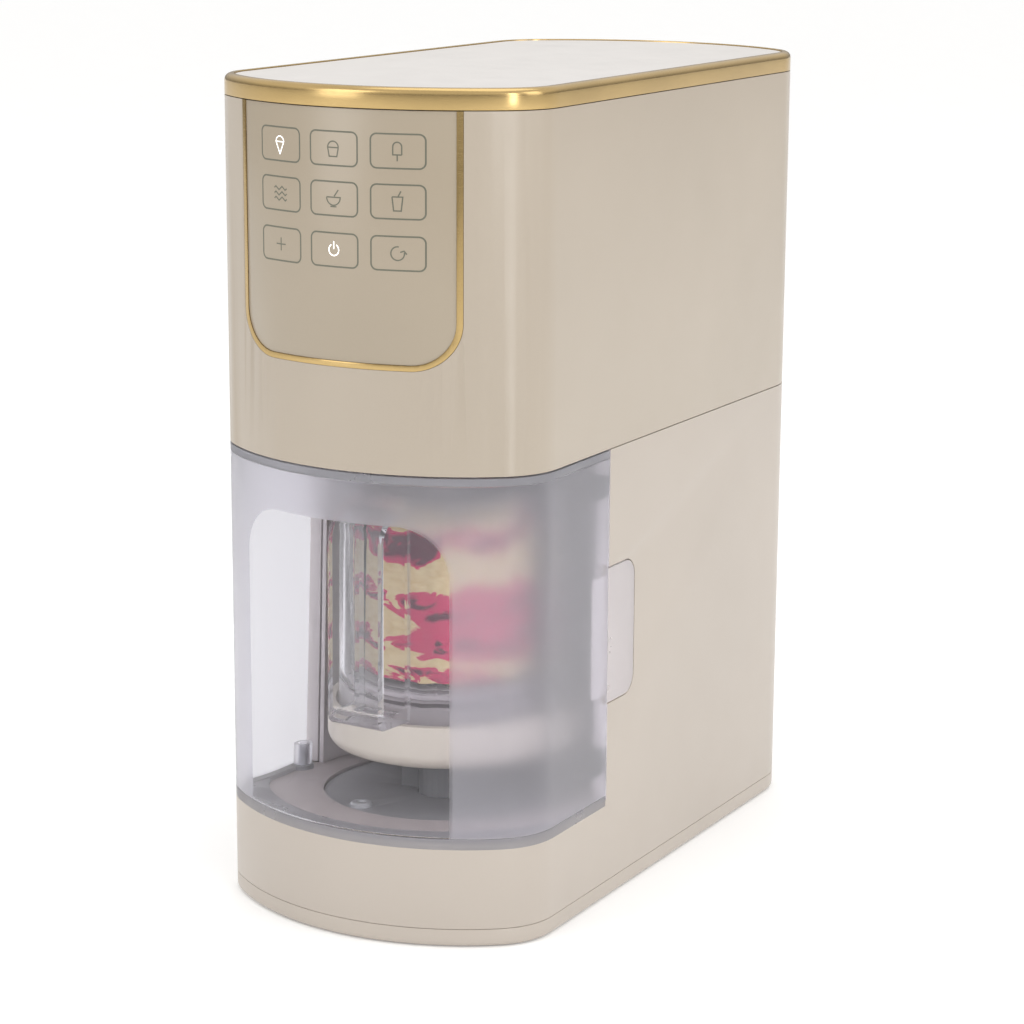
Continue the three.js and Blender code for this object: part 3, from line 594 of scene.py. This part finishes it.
def buildWorld():
    # a white studio whose walls fall off to grey at eye level, so that metal and gloss have an edge to show
    world = bpy.data.worlds.new("studio")
    bpy.context.scene.world = world
    world.use_nodes = True
    nodes, links = world.node_tree.nodes, world.node_tree.links
    where = nodes.new("ShaderNodeTexCoord")
    split = nodes.new("ShaderNodeSeparateXYZ")
    links.new(where.outputs["Generated"], split.inputs["Vector"])
    rise = spread(nodes, links, split.outputs["Z"], 0.3, 1.0, 0.02, 0.45)
    links.new(rise, nodes["Background"].inputs["Strength"])
    nodes["Background"].inputs["Color"].default_value = (1, 0.995, 0.985, 1)


buildWorld()
bpy.context.scene.view_settings.view_transform = "Standard"
print("camera and light ready")

# base and lower body
base = {"coverRound": 2.6 * mm, "coverDrop": 0.7 * mm, "coverFloor": 3.8 * mm, "wall": 2.8 * mm,
        "edge": 0.5 * mm, "footBoss": 12 * mm, "footBossTop": 6 * mm, "footPlay": 0.5 * mm,
        "seatDepth": 3.1 * mm, "screwBoss": 6.5 * mm, "screwBossTop": 7.6 * mm, "bossBottom": 3 * mm,
        "counterbore": 4.4 * mm, "counterboreDepth": 4.6 * mm, "screwHole": 2.5 * mm, "through": 20 * mm,
        "stripInner": 79 * mm, "stripOuter": 84 * mm, "backingOuter": 84.2 * mm, "pocketPlay": 0.7 * mm,
        "pocketFloor": 80.8 * mm, "cordHole": 6 * mm, "gripBend": 9 * mm}


def buildBottomCover():
    low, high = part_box("bottom_cover")
    low.z -= base["coverDrop"]
    cover = extrudeAll(planLine("bottomCover", low.z), (0, 0, high.z - low.z), fill=True)
    pick(cover, "EDGE", lambda m, d: m.z < low.z + 0.1 * mm)
    bpy.ops.mesh.bevel(offset=base["coverRound"], segments=8, affect="EDGES")
    # the cover is a shallow dish, so that the lift column has room to come down into it
    cavity = planLine("cavity", base["coverFloor"], base["wall"])
    carve(cover, extrudeAll(cavity, (0, 0, base["through"]), fill=True))
    for i in range(4):
        footLow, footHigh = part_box(f"foot_{i + 1}")
        foot = (footLow + footHigh) / 2
        seat = (footHigh.y - footLow.y) / 2 + base["footPlay"]
        bottom = base["bossBottom"]
        carve(cover, rod("footBoss", foot.x, foot.y, base["footBoss"], bottom, base["footBossTop"]), "UNION")
        screwLow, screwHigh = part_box(f"bottom_screw_{i + 1}")
        screw = (screwLow + screwHigh) / 2
        boss = rod("screwBoss", screw.x, screw.y, base["screwBoss"], bottom, base["screwBossTop"])
        carve(cover, boss, "UNION")
        carve(cover, rod("seat", foot.x, foot.y, seat, 0, base["seatDepth"]))
        carve(cover, rod("counterbore", screw.x, screw.y, base["counterbore"], 0, base["counterboreDepth"]))
        carve(cover, rod("screwHole", screw.x, screw.y, base["screwHole"], 0, base["through"]))
    softenEdges(cover, 0.25 * mm, 2)
    return finishPiece(cover, looks["lowerCream"], "housing", ["bottom_cover"])


def buildLowerBody():
    low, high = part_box("lower_body")
    body = planLine("lowerBody", low.z, 0, (columnFront,))
    extrudeAll(body, (0, 0, deckTop - low.z))
    pick(body, "EDGE", lambda m, d: m.z > deckTop - 0.01 * mm)
    bpy.ops.mesh.extrude_region_move(TRANSFORM_OT_translate={"value": (0, 0, high.z - deckTop)})
    leaveEdit()
    pick(body, "FACE", lambda m, n: m.z > deckTop and m.y < columnFront - 0.1 * mm)
    bpy.ops.mesh.delete(type="FACE")
    bpy.ops.mesh.select_all(action="SELECT")
    bpy.ops.mesh.normals_make_consistent(inside=False)
    leaveEdit()
    thicken(body, base["wall"])
    for side in (-1, 1):
        x0, x1 = sorted((side * base["stripInner"], side * base["stripOuter"]))
        strip = block("strip", (x0, columnFront, deckTop + 0.3 * mm),
                      (x1, columnFront + base["wall"], high.z))
        carve(body, strip, "UNION")
    gripLow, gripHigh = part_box("door_grip")
    backing = block("backing", (base["stripInner"], columnFront + 0.1 * mm, gripLow.z - 3 * mm),
                    (base["backingOuter"], gripHigh.y + 4 * mm, gripHigh.z + 3 * mm))
    carve(body, backing, "UNION")
    pocket = gripShape("pocket", base["pocketPlay"], columnFront - 5 * mm, base["pocketFloor"],
                       plan["halfWidth"] + 5 * mm)
    carve(body, pocket)
    bushLow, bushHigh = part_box("cord_bush")
    middle = (bushLow + bushHigh) / 2
    carve(body, rod("cordHole", middle.x, middle.y, base["cordHole"], middle.z - 15 * mm,
                    middle.z + 15 * mm, 48, (math.pi / 2, 0, 0)))
    softenEdges(body, base["edge"], 3)
    finishPiece(body, looks["lowerCream"], "housing", ["lower_body"])
    dressFaces(body, looks["liner"], lambda m, n: m.z > deckTop + 1 * mm and m.y < columnFront + 3 * mm
               and abs(m.x) < plan["halfWidth"] - 0.4 * mm)
    return body


def gripShape(name, grow, frontY, x0, x1):
    low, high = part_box("door_grip")
    bend = base["gripBend"]
    rear, bottom, top = high.y, low.z, high.z
    shape = trace(name, (x0, frontY, bottom - grow), [
        (x0, rear - bend, bottom - grow),
        ((x0, rear - bend, bottom + bend), (1, 0, 0), 90, 12),
        (x0, rear + grow, top - bend),
        ((x0, rear - bend, top - bend), (1, 0, 0), 90, 12),
        (x0, frontY, top + grow),
    ])
    return extrudeAll(shape, (x1 - x0, 0, 0), fill=True)


buildBottomCover()
buildLowerBody()
print("lower body ready")

# drive housing, ring, cover and fascia
housing = {"wall": 2.8 * mm, "panelHalf": 58.5 * mm, "panelBottom": 273.6 * mm, "panelCorner": 22 * mm,
           "frameWidth": 2.6 * mm, "ringTopRound": 3.2 * mm, "ringWall": 4.6 * mm, "coverInset": 4.9 * mm,
           "spindleHole": 12 * mm, "ceilingRear": 12 * mm, "gap": 0.3 * mm}


def panelPrism(name, half, bottom, corner):
    # the fascia's outline, square at the top, run through the front wall
    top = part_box("fascia")[1].z
    y0 = -plan["halfDepth"] - 5 * mm
    shape = trace(name, (-half, y0, top), [
        (-half, y0, bottom + corner),
        ((-half + corner, y0, bottom + corner), (0, -1, 0), 90, 16),
        (half - corner, y0, bottom),
        ((half - corner, y0, bottom + corner), (0, -1, 0), 90, 16),
        (half, y0, top),
    ])
    return extrudeAll(shape, (0, 60 * mm, 0), fill=True)


def frontBand(name, inset, thickness):
    low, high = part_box("fascia")
    band = frontLine(name, low.z - 20 * mm, -cornerY + 2 * mm, -cornerY + 2 * mm, inset)
    extrudeAll(band, (0, 0, high.z - low.z + 20 * mm))
    return faceForward(band, thickness)


def faceForward(band, thickness):
    # an open wall has no inside, so its faces are turned to the front before it gets its thickness
    front = min(band.data.polygons, key=lambda face: face.center.y)
    if front.normal.y > 0:
        makeActive(band)
        edit("FACE")
        bpy.ops.mesh.select_all(action="SELECT")
        bpy.ops.mesh.flip_normals()
        leaveEdit()
    return thicken(band, thickness)


def buildUpperHousing():
    low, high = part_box("upper_housing")
    shell = planLine("upperHousing", low.z)
    extrudeAll(shell, (0, 0, high.z - low.z))
    faceForward(shell, housing["wall"])
    ceiling = extrudeAll(planLine("ceiling", low.z, 1.5 * mm), (0, 0, 2.6 * mm), fill=True)
    carve(ceiling, block("back", (-0.2, housing["ceilingRear"], 0.1), (0.2, 0.3, 0.3)))
    carve(ceiling, rod("spindleHole", 0, jarY, housing["spindleHole"], 0.2, 0.3))
    carve(ceiling, rod("pinHole", pinX, pinY, 2.6 * mm, 0.2, 0.3))
    carve(shell, ceiling, "UNION")
    carve(shell, panelPrism("panelHole", housing["panelHalf"] + 0.15 * mm, housing["panelBottom"] - 0.15 * mm,
                            housing["panelCorner"]))
    ventLow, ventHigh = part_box("vent_grille")
    gap = housing["gap"]
    carve(shell, block("ventHole", (ventLow.x - gap, 0.1, ventLow.z - gap),
                       (ventHigh.x + gap, 0.3, ventHigh.z + gap)))
    softenEdges(shell, 0.45 * mm, 3)
    return finishPiece(shell, looks["cream"], "housing", ["upper_housing"])


def buildTrimRing():
    low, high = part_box("trim_ring")
    ring = planLine("trimRing", low.z)
    extrudeAll(ring, (0, 0, high.z - low.z))
    faceForward(ring, housing["ringWall"])
    pick(ring, "EDGE", lambda m, d: m.z > high.z - 0.1 * mm and onOutline(m, 0.4 * mm))
    bpy.ops.mesh.bevel(offset=housing["ringTopRound"], segments=7, affect="EDGES")
    softenEdges(ring, 0.35 * mm, 3)
    return finishPiece(ring, looks["gold"], "housing", ["trim_ring"])


def onOutline(point, near):
    # whether a point lies nearer than this to the plan's outer line, by the line's own arcs
    x, y = abs(point.x), abs(point.y)
    if y <= cornerY:
        return plan["halfWidth"] - x < near
    fromCorner = math.degrees(math.atan2(y - cornerY, x - cornerX)) if x > cornerX else 90
    if fromCorner < cornerTurn:
        return plan["corner"] - math.hypot(x - cornerX, y - cornerY) < near
    return bowRadius - math.hypot(x, y - bowCentre) < near


def buildTopCover():
    low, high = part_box("top_cover")
    cover = extrudeAll(planLine("topCover", low.z, housing["coverInset"]), (0, 0, high.z - low.z), fill=True)
    pick(cover, "FACE", lambda m, n: n.z > 0.9)
    bpy.ops.mesh.inset(thickness=0.8 * mm, depth=0)
    leaveEdit()
    softenEdges(cover, 0.5 * mm, 4)
    return finishPiece(cover, looks["offWhite"], "housing", ["top_cover"])


def buildFascia():
    half, bottom, corner = housing["panelHalf"], housing["panelBottom"], housing["panelCorner"]
    width = housing["frameWidth"]
    surround = frontBand("fasciaFrame", 0.0, 1.3 * mm)
    carve(surround, panelPrism("outer", half, bottom, corner), "INTERSECT")
    carve(surround, panelPrism("inner", half - width, bottom + width, corner - width))
    softenEdges(surround, 0.35 * mm, 3)
    finishPiece(surround, looks["gold"], "housing", ["fascia_frame"])
    sheet = frontBand("fasciaSheet", 0.35 * mm, 0.9 * mm)
    inset = width + 0.1 * mm
    carve(sheet, panelPrism("inner", half - inset, bottom + inset, corner - inset), "INTERSECT")
    softenEdges(sheet, 0.1 * mm, 2)
    finishPiece(sheet, looks["fascia"], "housing", ["fascia"])


buildUpperHousing()
buildTrimRing()
buildTopCover()
buildFascia()
print("drive housing ready")

# guard door
door = {"wall": 2.6 * mm, "rightEnd": -69.2 * mm, "leftEnd": -71 * mm, "rimWidth": 6 * mm,
        "knuckle": 4.5 * mm, "bore": 2.6 * mm, "ledge": 88 * mm, "lobe": 5.4 * mm, "railWidth": 4 * mm,
        "lowKnuckle": 9.5 * mm, "highKnuckle": 13 * mm, "tongueRear": -66.5 * mm}


def doorBand(name, z0, z1, thickness):
    band = frontLine(name, z0, door["rightEnd"], door["leftEnd"])
    extrudeAll(band, (0, 0, z1 - z0))
    return faceForward(band, thickness)


def buildDoor():
    low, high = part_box("door_shell")
    shell = doorBand("doorShell", low.z, high.z, door["wall"])
    for z0, z1 in ((low.z, low.z + door["lowKnuckle"]), (high.z - door["highKnuckle"], high.z)):
        carve(shell, rod("knuckle", pinX, pinY, door["knuckle"], z0, z1), "UNION")
    carve(shell, rod("bore", pinX, pinY, door["bore"], 0, 0.3))
    softenEdges(shell, 0.5 * mm, 3)
    finishPiece(shell, looks["door"], "door", ["door_shell"])

    low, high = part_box("door_rim")
    rim = doorBand("doorRim", low.z, high.z, door["rimWidth"])
    ledge = planLine("ledge", low.z + 0.4 * mm, 1.5 * mm)     # a little inside the rim, so no faces coincide
    extrudeAll(ledge, (0, 0, high.z - low.z - 1 * mm), fill=True)
    carve(ledge, rod("round", 0, jarY + 3 * mm, door["ledge"], 0, 0.3, 160))
    carve(ledge, block("rear", (-0.2, -0.1, 0), (0.2, 0.3, 0.3)))
    carve(rim, ledge, "UNION")
    carve(rim, rod("lobe", pinX, pinY, door["lobe"], low.z, high.z), "UNION")
    carve(rim, rod("bore", pinX, pinY, door["bore"], 0, 0.3))
    softenEdges(rim, 0.5 * mm, 3)
    finishPiece(rim, looks["smoke"], "door", ["door_rim"])

    low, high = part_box("door_top_rail")
    rail = doorBand("doorTopRail", low.z, high.z, door["railWidth"])
    carve(rail, rod("lobe", pinX, pinY, door["lobe"], low.z, high.z), "UNION")
    carve(rail, rod("bore", pinX, pinY, door["bore"], 0, 0.3))
    softenEdges(rail, 0.4 * mm, 3)
    finishPiece(rail, looks["smoke"], "door", ["door_top_rail"])

    inner = plan["halfWidth"] - door["wall"]
    low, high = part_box("door_grip")
    grip = gripShape("doorGrip", 0, door["rightEnd"] + 0.3 * mm, inner, plan["halfWidth"])
    z0, z1 = low.z + 4 * mm, high.z - 4 * mm
    tongue = block("tongue", (low.x, low.y, z0), (inner - 0.3 * mm, door["tongueRear"], z1))
    bend = block("bend", (low.x, door["rightEnd"] + 0.3 * mm, z0), (inner + 1 * mm, door["tongueRear"], z1))
    carve(grip, bend, "UNION")
    carve(grip, tongue, "UNION")
    softenEdges(grip, 0.7 * mm, 4)
    finishPiece(grip, looks["grip"], "door", ["door_grip"])


buildDoor()
print("door ready")

# chamber: floor, liner, platform
chamber = {"disc": 60 * mm, "recess": 75.8 * mm, "raised": 79.5 * mm, "doorSweep": 12 * mm,
           "rearGap": 0.3 * mm, "discHole": 14.4 * mm, "notchHalf": 25 * mm, "dishRadius": 58.5 * mm,
           "dishEdge": 7 * mm, "dishInner": 54 * mm, "dishDepth": 7 * mm}


def buildChamber():
    low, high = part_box("floor_tray")
    floorTop = high.z
    plate = extrudeAll(planLine("floorTray", low.z, 3.1 * mm), (0, 0, deckTop - low.z), fill=True)
    carve(plate, block("rear", (-0.2, columnFront - chamber["rearGap"], 0), (0.2, 0.3, 0.3)))
    carve(plate, rod("recess", 0, jarY, chamber["recess"] + 2 * mm, low.z, deckTop, 128), "UNION")
    raised = rod("raised", 0, jarY, chamber["raised"], low.z + 0.5 * mm, floorTop, 160)
    carve(raised, block("rear", (-0.2, columnFront - chamber["rearGap"], 0), (0.2, 0.3, 0.3)))
    carve(plate, raised, "UNION")
    back = rod("back", 0, jarY, chamber["recess"] - 0.3 * mm, low.z + 0.7 * mm, floorTop, 160)
    carve(plate, back, "UNION")
    carve(plate, rod("opening", 0, jarY, chamber["disc"] + 0.3 * mm, 0, 0.1, 128))
    carve(plate, rod("pinHole", pinX, pinY, door["bore"], 0, 0.1, 48))
    carve(plate, rod("doorSweep", pinX, pinY, chamber["doorSweep"], deckTop, 0.1, 64))
    softenEdges(plate, 0.9 * mm, 4)
    finishPiece(plate, looks["tray"], "housing", ["floor_tray"])

    low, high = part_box("floor_disc")
    top = high.z - 1.4 * mm
    r, hole, half = chamber["disc"], chamber["discHole"], chamber["notchHalf"]
    disc = turned("floorDisc", [(hole, low.z), (r, low.z), (r, top), (r - 3 * mm, top),
                                (r - 4 * mm, top - 0.6 * mm), (hole, top - 0.6 * mm)])
    carve(disc, block("notch", (-half, jarY - 3.5 * mm, 0), (half, jarY + 3.5 * mm, 0.2)))
    boss = turned("boss", [(0, top - 2 * mm), (5.5 * mm, top - 2 * mm), (5.5 * mm, top + 0.6 * mm),
                           (4.6 * mm, high.z), (2.2 * mm, high.z), (1.8 * mm, high.z - 0.8 * mm),
                           (0, high.z - 0.8 * mm)], -22 * mm, jarY - 44 * mm, 48)
    carve(disc, boss, "UNION")
    softenEdges(disc, 0.3 * mm, 2)
    finishPiece(disc, looks["disc"], "housing", ["floor_disc"])

    low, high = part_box("chamber_liner")
    inner = chamber["recess"]
    liner = turned("chamberLiner", [(inner, low.z), (inner + 2.4 * mm, low.z), (inner + 2.4 * mm, high.z),
                                    (inner, high.z)], steps=160)
    carve(liner, block("front", (-0.2, -0.3, 0), (0.2, low.y, 0.3)))
    softenEdges(liner, 0.4 * mm, 2)
    finishPiece(liner, looks["liner"], "housing", ["chamber_liner"])

    low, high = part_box("jar_platform")
    r, z, foot = chamber["dishRadius"], low.z, chamber["dishEdge"]
    inner, seat = chamber["dishInner"], high.z - chamber["dishDepth"]
    dish = turned("jarPlatform", [(0, z), (r, z), (r, high.z), (inner, high.z), (inner, seat), (0, seat)])
    pick(dish, "EDGE", lambda m, d: abs(m.z - z) < 0.01 * mm and math.hypot(m.x, m.y - jarY) > r - 1 * mm)
    bpy.ops.mesh.bevel(offset=foot, segments=10, affect="EDGES")
    leaveEdit()
    softenEdges(dish, 0.6 * mm, 3, 45, 50)
    finishPiece(dish, looks["dish"], "platform", ["jar_platform"])


buildChamber()
print("chamber ready")

# jar, tub and what is in it
jarParts = {"radius": 53 * mm, "inside": 50.4 * mm, "top": 199 * mm, "handleAngle": 4,
            "handleReach": 78 * mm, "handleHalf": 14.5 * mm, "handleBottom": 96.5 * mm,
            "tubRadius": 48.5 * mm, "milkyTop": 104.5 * mm, "tubMilkyTop": 109.7 * mm,
            "lidBottom": 199.3 * mm, "lidHole": 9.6 * mm, "lidNeck": 29.7 * mm}


def buildJar():
    low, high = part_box("jar")
    r, inside, top = jarParts["radius"], jarParts["inside"], jarParts["top"]
    cup = turned("jarBody", [
        (0, 101 * mm), (44 * mm, 101 * mm), (45 * mm, 100 * mm), (45 * mm, low.z), (r - 1.2 * mm, low.z),
        (r, low.z + 1.2 * mm), (r, top), (inside, top), (inside, 108 * mm), (48.6 * mm, 104 * mm),
        (0, 104 * mm)])
    reach, half = jarParts["handleReach"], jarParts["handleHalf"]
    z0 = jarParts["handleBottom"]
    near = r - 1.3 * mm
    loop = trace("jarHandle", (near, -half, z0), [
        (reach - 5 * mm, -half, z0),
        ((reach - 5 * mm, -half, z0 + 5 * mm), (0, -1, 0), 90, 8),
        (reach, -half, top - 16 * mm),
        ((reach - 16 * mm, -half, top - 16 * mm), (0, -1, 0), 90, 16),
        (near, -half, top),
    ])
    extrudeAll(loop, (0, 2 * half, 0), fill=True)
    x0, x1 = r + 3.5 * mm, reach - 4.5 * mm
    hole = trace("hole", (x0, -half * 2, z0 + 6 * mm), [
        (x1 - 2 * mm, -half * 2, z0 + 6 * mm),
        ((x1 - 2 * mm, -half * 2, z0 + 8 * mm), (0, -1, 0), 90, 6),
        (x1, -half * 2, top - 5 * mm - 10 * mm),
        ((x1 - 10 * mm, -half * 2, top - 15 * mm), (0, -1, 0), 90, 12),
        (x0, -half * 2, top - 5 * mm),
    ])
    extrudeAll(hole, (0, 4 * half, 0), fill=True)
    carve(loop, hole)
    makeActive(loop)
    bpy.ops.transform.rotate(value=math.radians(90 + jarParts["handleAngle"]), orient_axis="Z",
                             center_override=(0, 0, 0))
    bpy.ops.transform.translate(value=(0, jarY, 0))
    settle(loop)
    carve(cup, loop, "UNION")
    carve(cup, turned("inside", [(0, 110 * mm), (inside, 110 * mm), (inside, 0.3), (0, 0.3)]))
    softenEdges(cup, 0.6 * mm, 3)
    finishPiece(cup, looks["clear"], "platform", ["jar"])
    dressFaces(cup, looks["jarBase"], lambda m, n: m.z < jarParts["milkyTop"]
               and math.hypot(m.x, m.y - jarY) < r + 0.2 * mm)

    low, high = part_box("tub")
    tubR = jarParts["tubRadius"]
    tub = turned("tubBody", [
        (0, 107.5 * mm), (44.5 * mm, 107.5 * mm), (44.5 * mm, low.z), (46 * mm, low.z), (46.6 * mm, 107 * mm),
        (tubR, 190 * mm), (49.8 * mm, 191.5 * mm), (49.8 * mm, high.z), (tubR - 1.2 * mm, high.z),
        (tubR - 1.2 * mm, 190 * mm), (45.7 * mm, 109.5 * mm), (0, 109.5 * mm)])
    softenEdges(tub, 0.3 * mm, 2)
    finishPiece(tub, looks["tub"], "platform", ["tub"])
    dressFaces(tub, looks["jarBase"], lambda m, n: m.z < jarParts["tubMilkyTop"])

    low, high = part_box("tub_contents")
    scoop = turned("dessert", [
        (0, low.z), (43.4 * mm, low.z), (45.2 * mm, low.z + 1.5 * mm), (46.3 * mm, high.z - 4.2 * mm),
        (42 * mm, high.z - 1.4 * mm), (26 * mm, high.z - 0.4 * mm), (9 * mm, high.z - 1.4 * mm),
        (0, high.z - 2 * mm)], steps=96)
    useModifier(scoop, "SUBSURF", levels=1, render_levels=1)
    smoothOver(scoop, 60)
    finishPiece(scoop, looks["iceCream"], "platform", ["tub_contents"])

    low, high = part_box("jar_lid")
    hole, neck, z = jarParts["lidHole"], jarParts["lidNeck"], jarParts["lidBottom"]
    lid = turned("jarLid", [
        (hole, z), (46.5 * mm, z), (46.5 * mm, low.z), (49.6 * mm, low.z), (49.6 * mm, z), (54 * mm, z),
        (54 * mm, 203.5 * mm), (51 * mm, 205 * mm), (neck, 205.6 * mm), (neck, high.z), (hole, high.z)])
    softenEdges(lid, 0.4 * mm, 3)
    finishPiece(lid, looks["lid"], "housing", ["jar_lid"])


buildJar()
print("jar ready")

# touch keys: printed outlines and plain pictograms on the bowed fascia
keys = {"columns": (-31, 0, 31), "rows": (372, 349.6, 326.6), "half": 12.3, "tall": 7.6, "corner": 2.8,
        "line": 0.75 * mm, "fine": 0.6 * mm, "lit": 0.45 * mm, "skin": 0.31 * mm, "print": 0.07 * mm}
clockwise, counter = (0, 1, 0), (0, -1, 0)     # turns as seen from the front


def stroke(column, row, width, points, closed=False):
    # one pen stroke on a key, as a wall that runs through the front
    # the points are in millimetres from the key's middle
    x, y, z = keys["columns"][column], -plan["halfDepth"] - 3 * mm, keys["rows"][row]

    def at(u, v):
        return ((x + u) * mm, y, (z + v) * mm)

    start, *others = points
    moves = [at(*p) if len(p) == 2 else (at(*p[0]), *p[1:]) for p in others]
    if closed:
        moves.append(at(*start))
    line = trace("stroke", at(*start), moves, close=closed)
    extrudeAll(line, (0, 45 * mm, 0))
    return useModifier(line, "SOLIDIFY", thickness=width, offset=0, use_even_offset=True)


def keyOutline(column, row):
    w, h, r = keys["half"], keys["tall"], keys["corner"]
    return stroke(column, row, keys["line"], [
        (w, -h + r), (w, h - r), ((w - r, h - r), counter, 90, 6),
        (-w + r, h), ((-w + r, h - r), counter, 90, 6),
        (-w, -h + r), ((-w + r, -h + r), counter, 90, 6),
        (w - r, -h), ((w - r, -h + r), counter, 90, 6),
    ])


# each pictogram's strokes: a scoop in a cone, a lolly and so on
pictograms = {
    "cone": [[(2.5, 1), ((0, 1), counter, 180, 14), (0, -4.4), (2.5, 1)], [(-2.5, 1), (2.5, 1)]],
    "cup": [[(2.8, 0.4), ((0, 0.4), counter, 180, 14), (-2, -3.6), (2, -3.6), (2.8, 0.4)],
            [(-2.8, 0.4), (2.8, 0.4)]],
    "lolly": [[(2, -1.6), (2, 2), ((0, 2), counter, 180, 12), (-2, -1.6), (2, -1.6)], [(0, -1.6), (0, -4.4)]],
    "waves": [[(-4, y), (-3, y + 0.8), (-1, y - 0.8), (1, y + 0.8), (3, y - 0.8), (4, y)]
              for y in (-2.4, 0, 2.4)],
    "bowl": [[(-3.6, 0.6), (3.6, 0.6), ((0, 0.6), clockwise, 180, 16)], [(-1.6, -3.6), (1.6, -3.6)],
             [(0.4, 1), (2.6, 4)]],
    "glass": [[(-2.4, 2.2), (-1.7, -4), (1.7, -4), (2.4, 2.2), (-2.4, 2.2)], [(0.2, 2.2), (1.6, 4.8)]],
    "plus": [[(-3, 0), (3, 0)], [(0, -3), (0, 3)]],
    "power": [[(1.3, 2.25), ((0, 0), clockwise, 300, 26)], [(0, 0.4), (0, 3.9)]],
    "again": [[(0.6, 3), ((0, 0), counter, 290, 24)], [(1.2, 0.6), (2.9, 1.2), (4.1, -0.3)]],
}
keyFaces = [("cone", "cup", "lolly"), ("waves", "bowl", "glass"), ("plus", "power", "again")]
litKeys = ("cone", "power")


def printOn(name, strokes, material):
    # the walls cut down to a thin layer that follows the bow
    leaveEdit()
    for piece in strokes:
        piece.select_set(True)
    bpy.context.view_layer.objects.active = strokes[0]
    if len(strokes) > 1:
        bpy.ops.object.join()
    walls = bpy.context.object
    walls.name = name
    layer = frontBand("layer", keys["skin"], keys["print"])
    useModifier(walls, "BOOLEAN", object=layer, operation="INTERSECT", solver="EXACT", use_self=True)
    bpy.data.objects.remove(layer)
    smoothOver(walls, 30)
    finishPiece(walls, material, "housing")


def buildKeys():
    dark, bright = [], []
    for row, names in enumerate(keyFaces):
        for column, name in enumerate(names):
            dark.append(keyOutline(column, row))
            shelf = bright if name in litKeys else dark
            for points in pictograms[name]:
                width = keys["lit"] if name in litKeys else keys["fine"]
                shelf.append(stroke(column, row, width, points))
    printOn("keyPrint", dark, looks["keyLine"])
    printOn("keyLights", bright, looks["lit"])


buildKeys()
print("keys ready")

# CAD nodes that keep their own shape
plainNodes = {
    "rubber": ["foot_1", "foot_2", "foot_3", "foot_4", "cord_bush"],
    "steel": ["bottom_screw_1", "bottom_screw_2", "bottom_screw_3", "bottom_screw_4", "platform_stem",
              "spindle", "gear_deck", "motor_bracket", "motor_can", "motor_rotor", "guide_rod_left",
              "guide_rod_right", "feed_screw", "rod_bridge", "catch_plate_1", "catch_plate_2",
              "hinge_pin_lower", "hinge_pin_upper"],
    "brass": ["spindle_bearing", "spindle_bush", "motor_pinion", "feed_pinion"],
    "nylon": ["lift_cam", "blade", "drive_gear", "screw_gear"],
    "board": ["touch_board", "power_board"],
    "black": ["motor_fan", "feed_motor", "door_magnet_1", "door_magnet_2"],
    "liner": ["lid_dock", "feed_carriage"],
    "column": ["lift_column"],
    "cream": ["vent_grille"],
}
for look, names in plainNodes.items():
    for name in names:
        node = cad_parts[name]
        node.data.materials.clear()
        node.data.materials.append(looks[look])
print("plain nodes dressed")

leaveEdit()
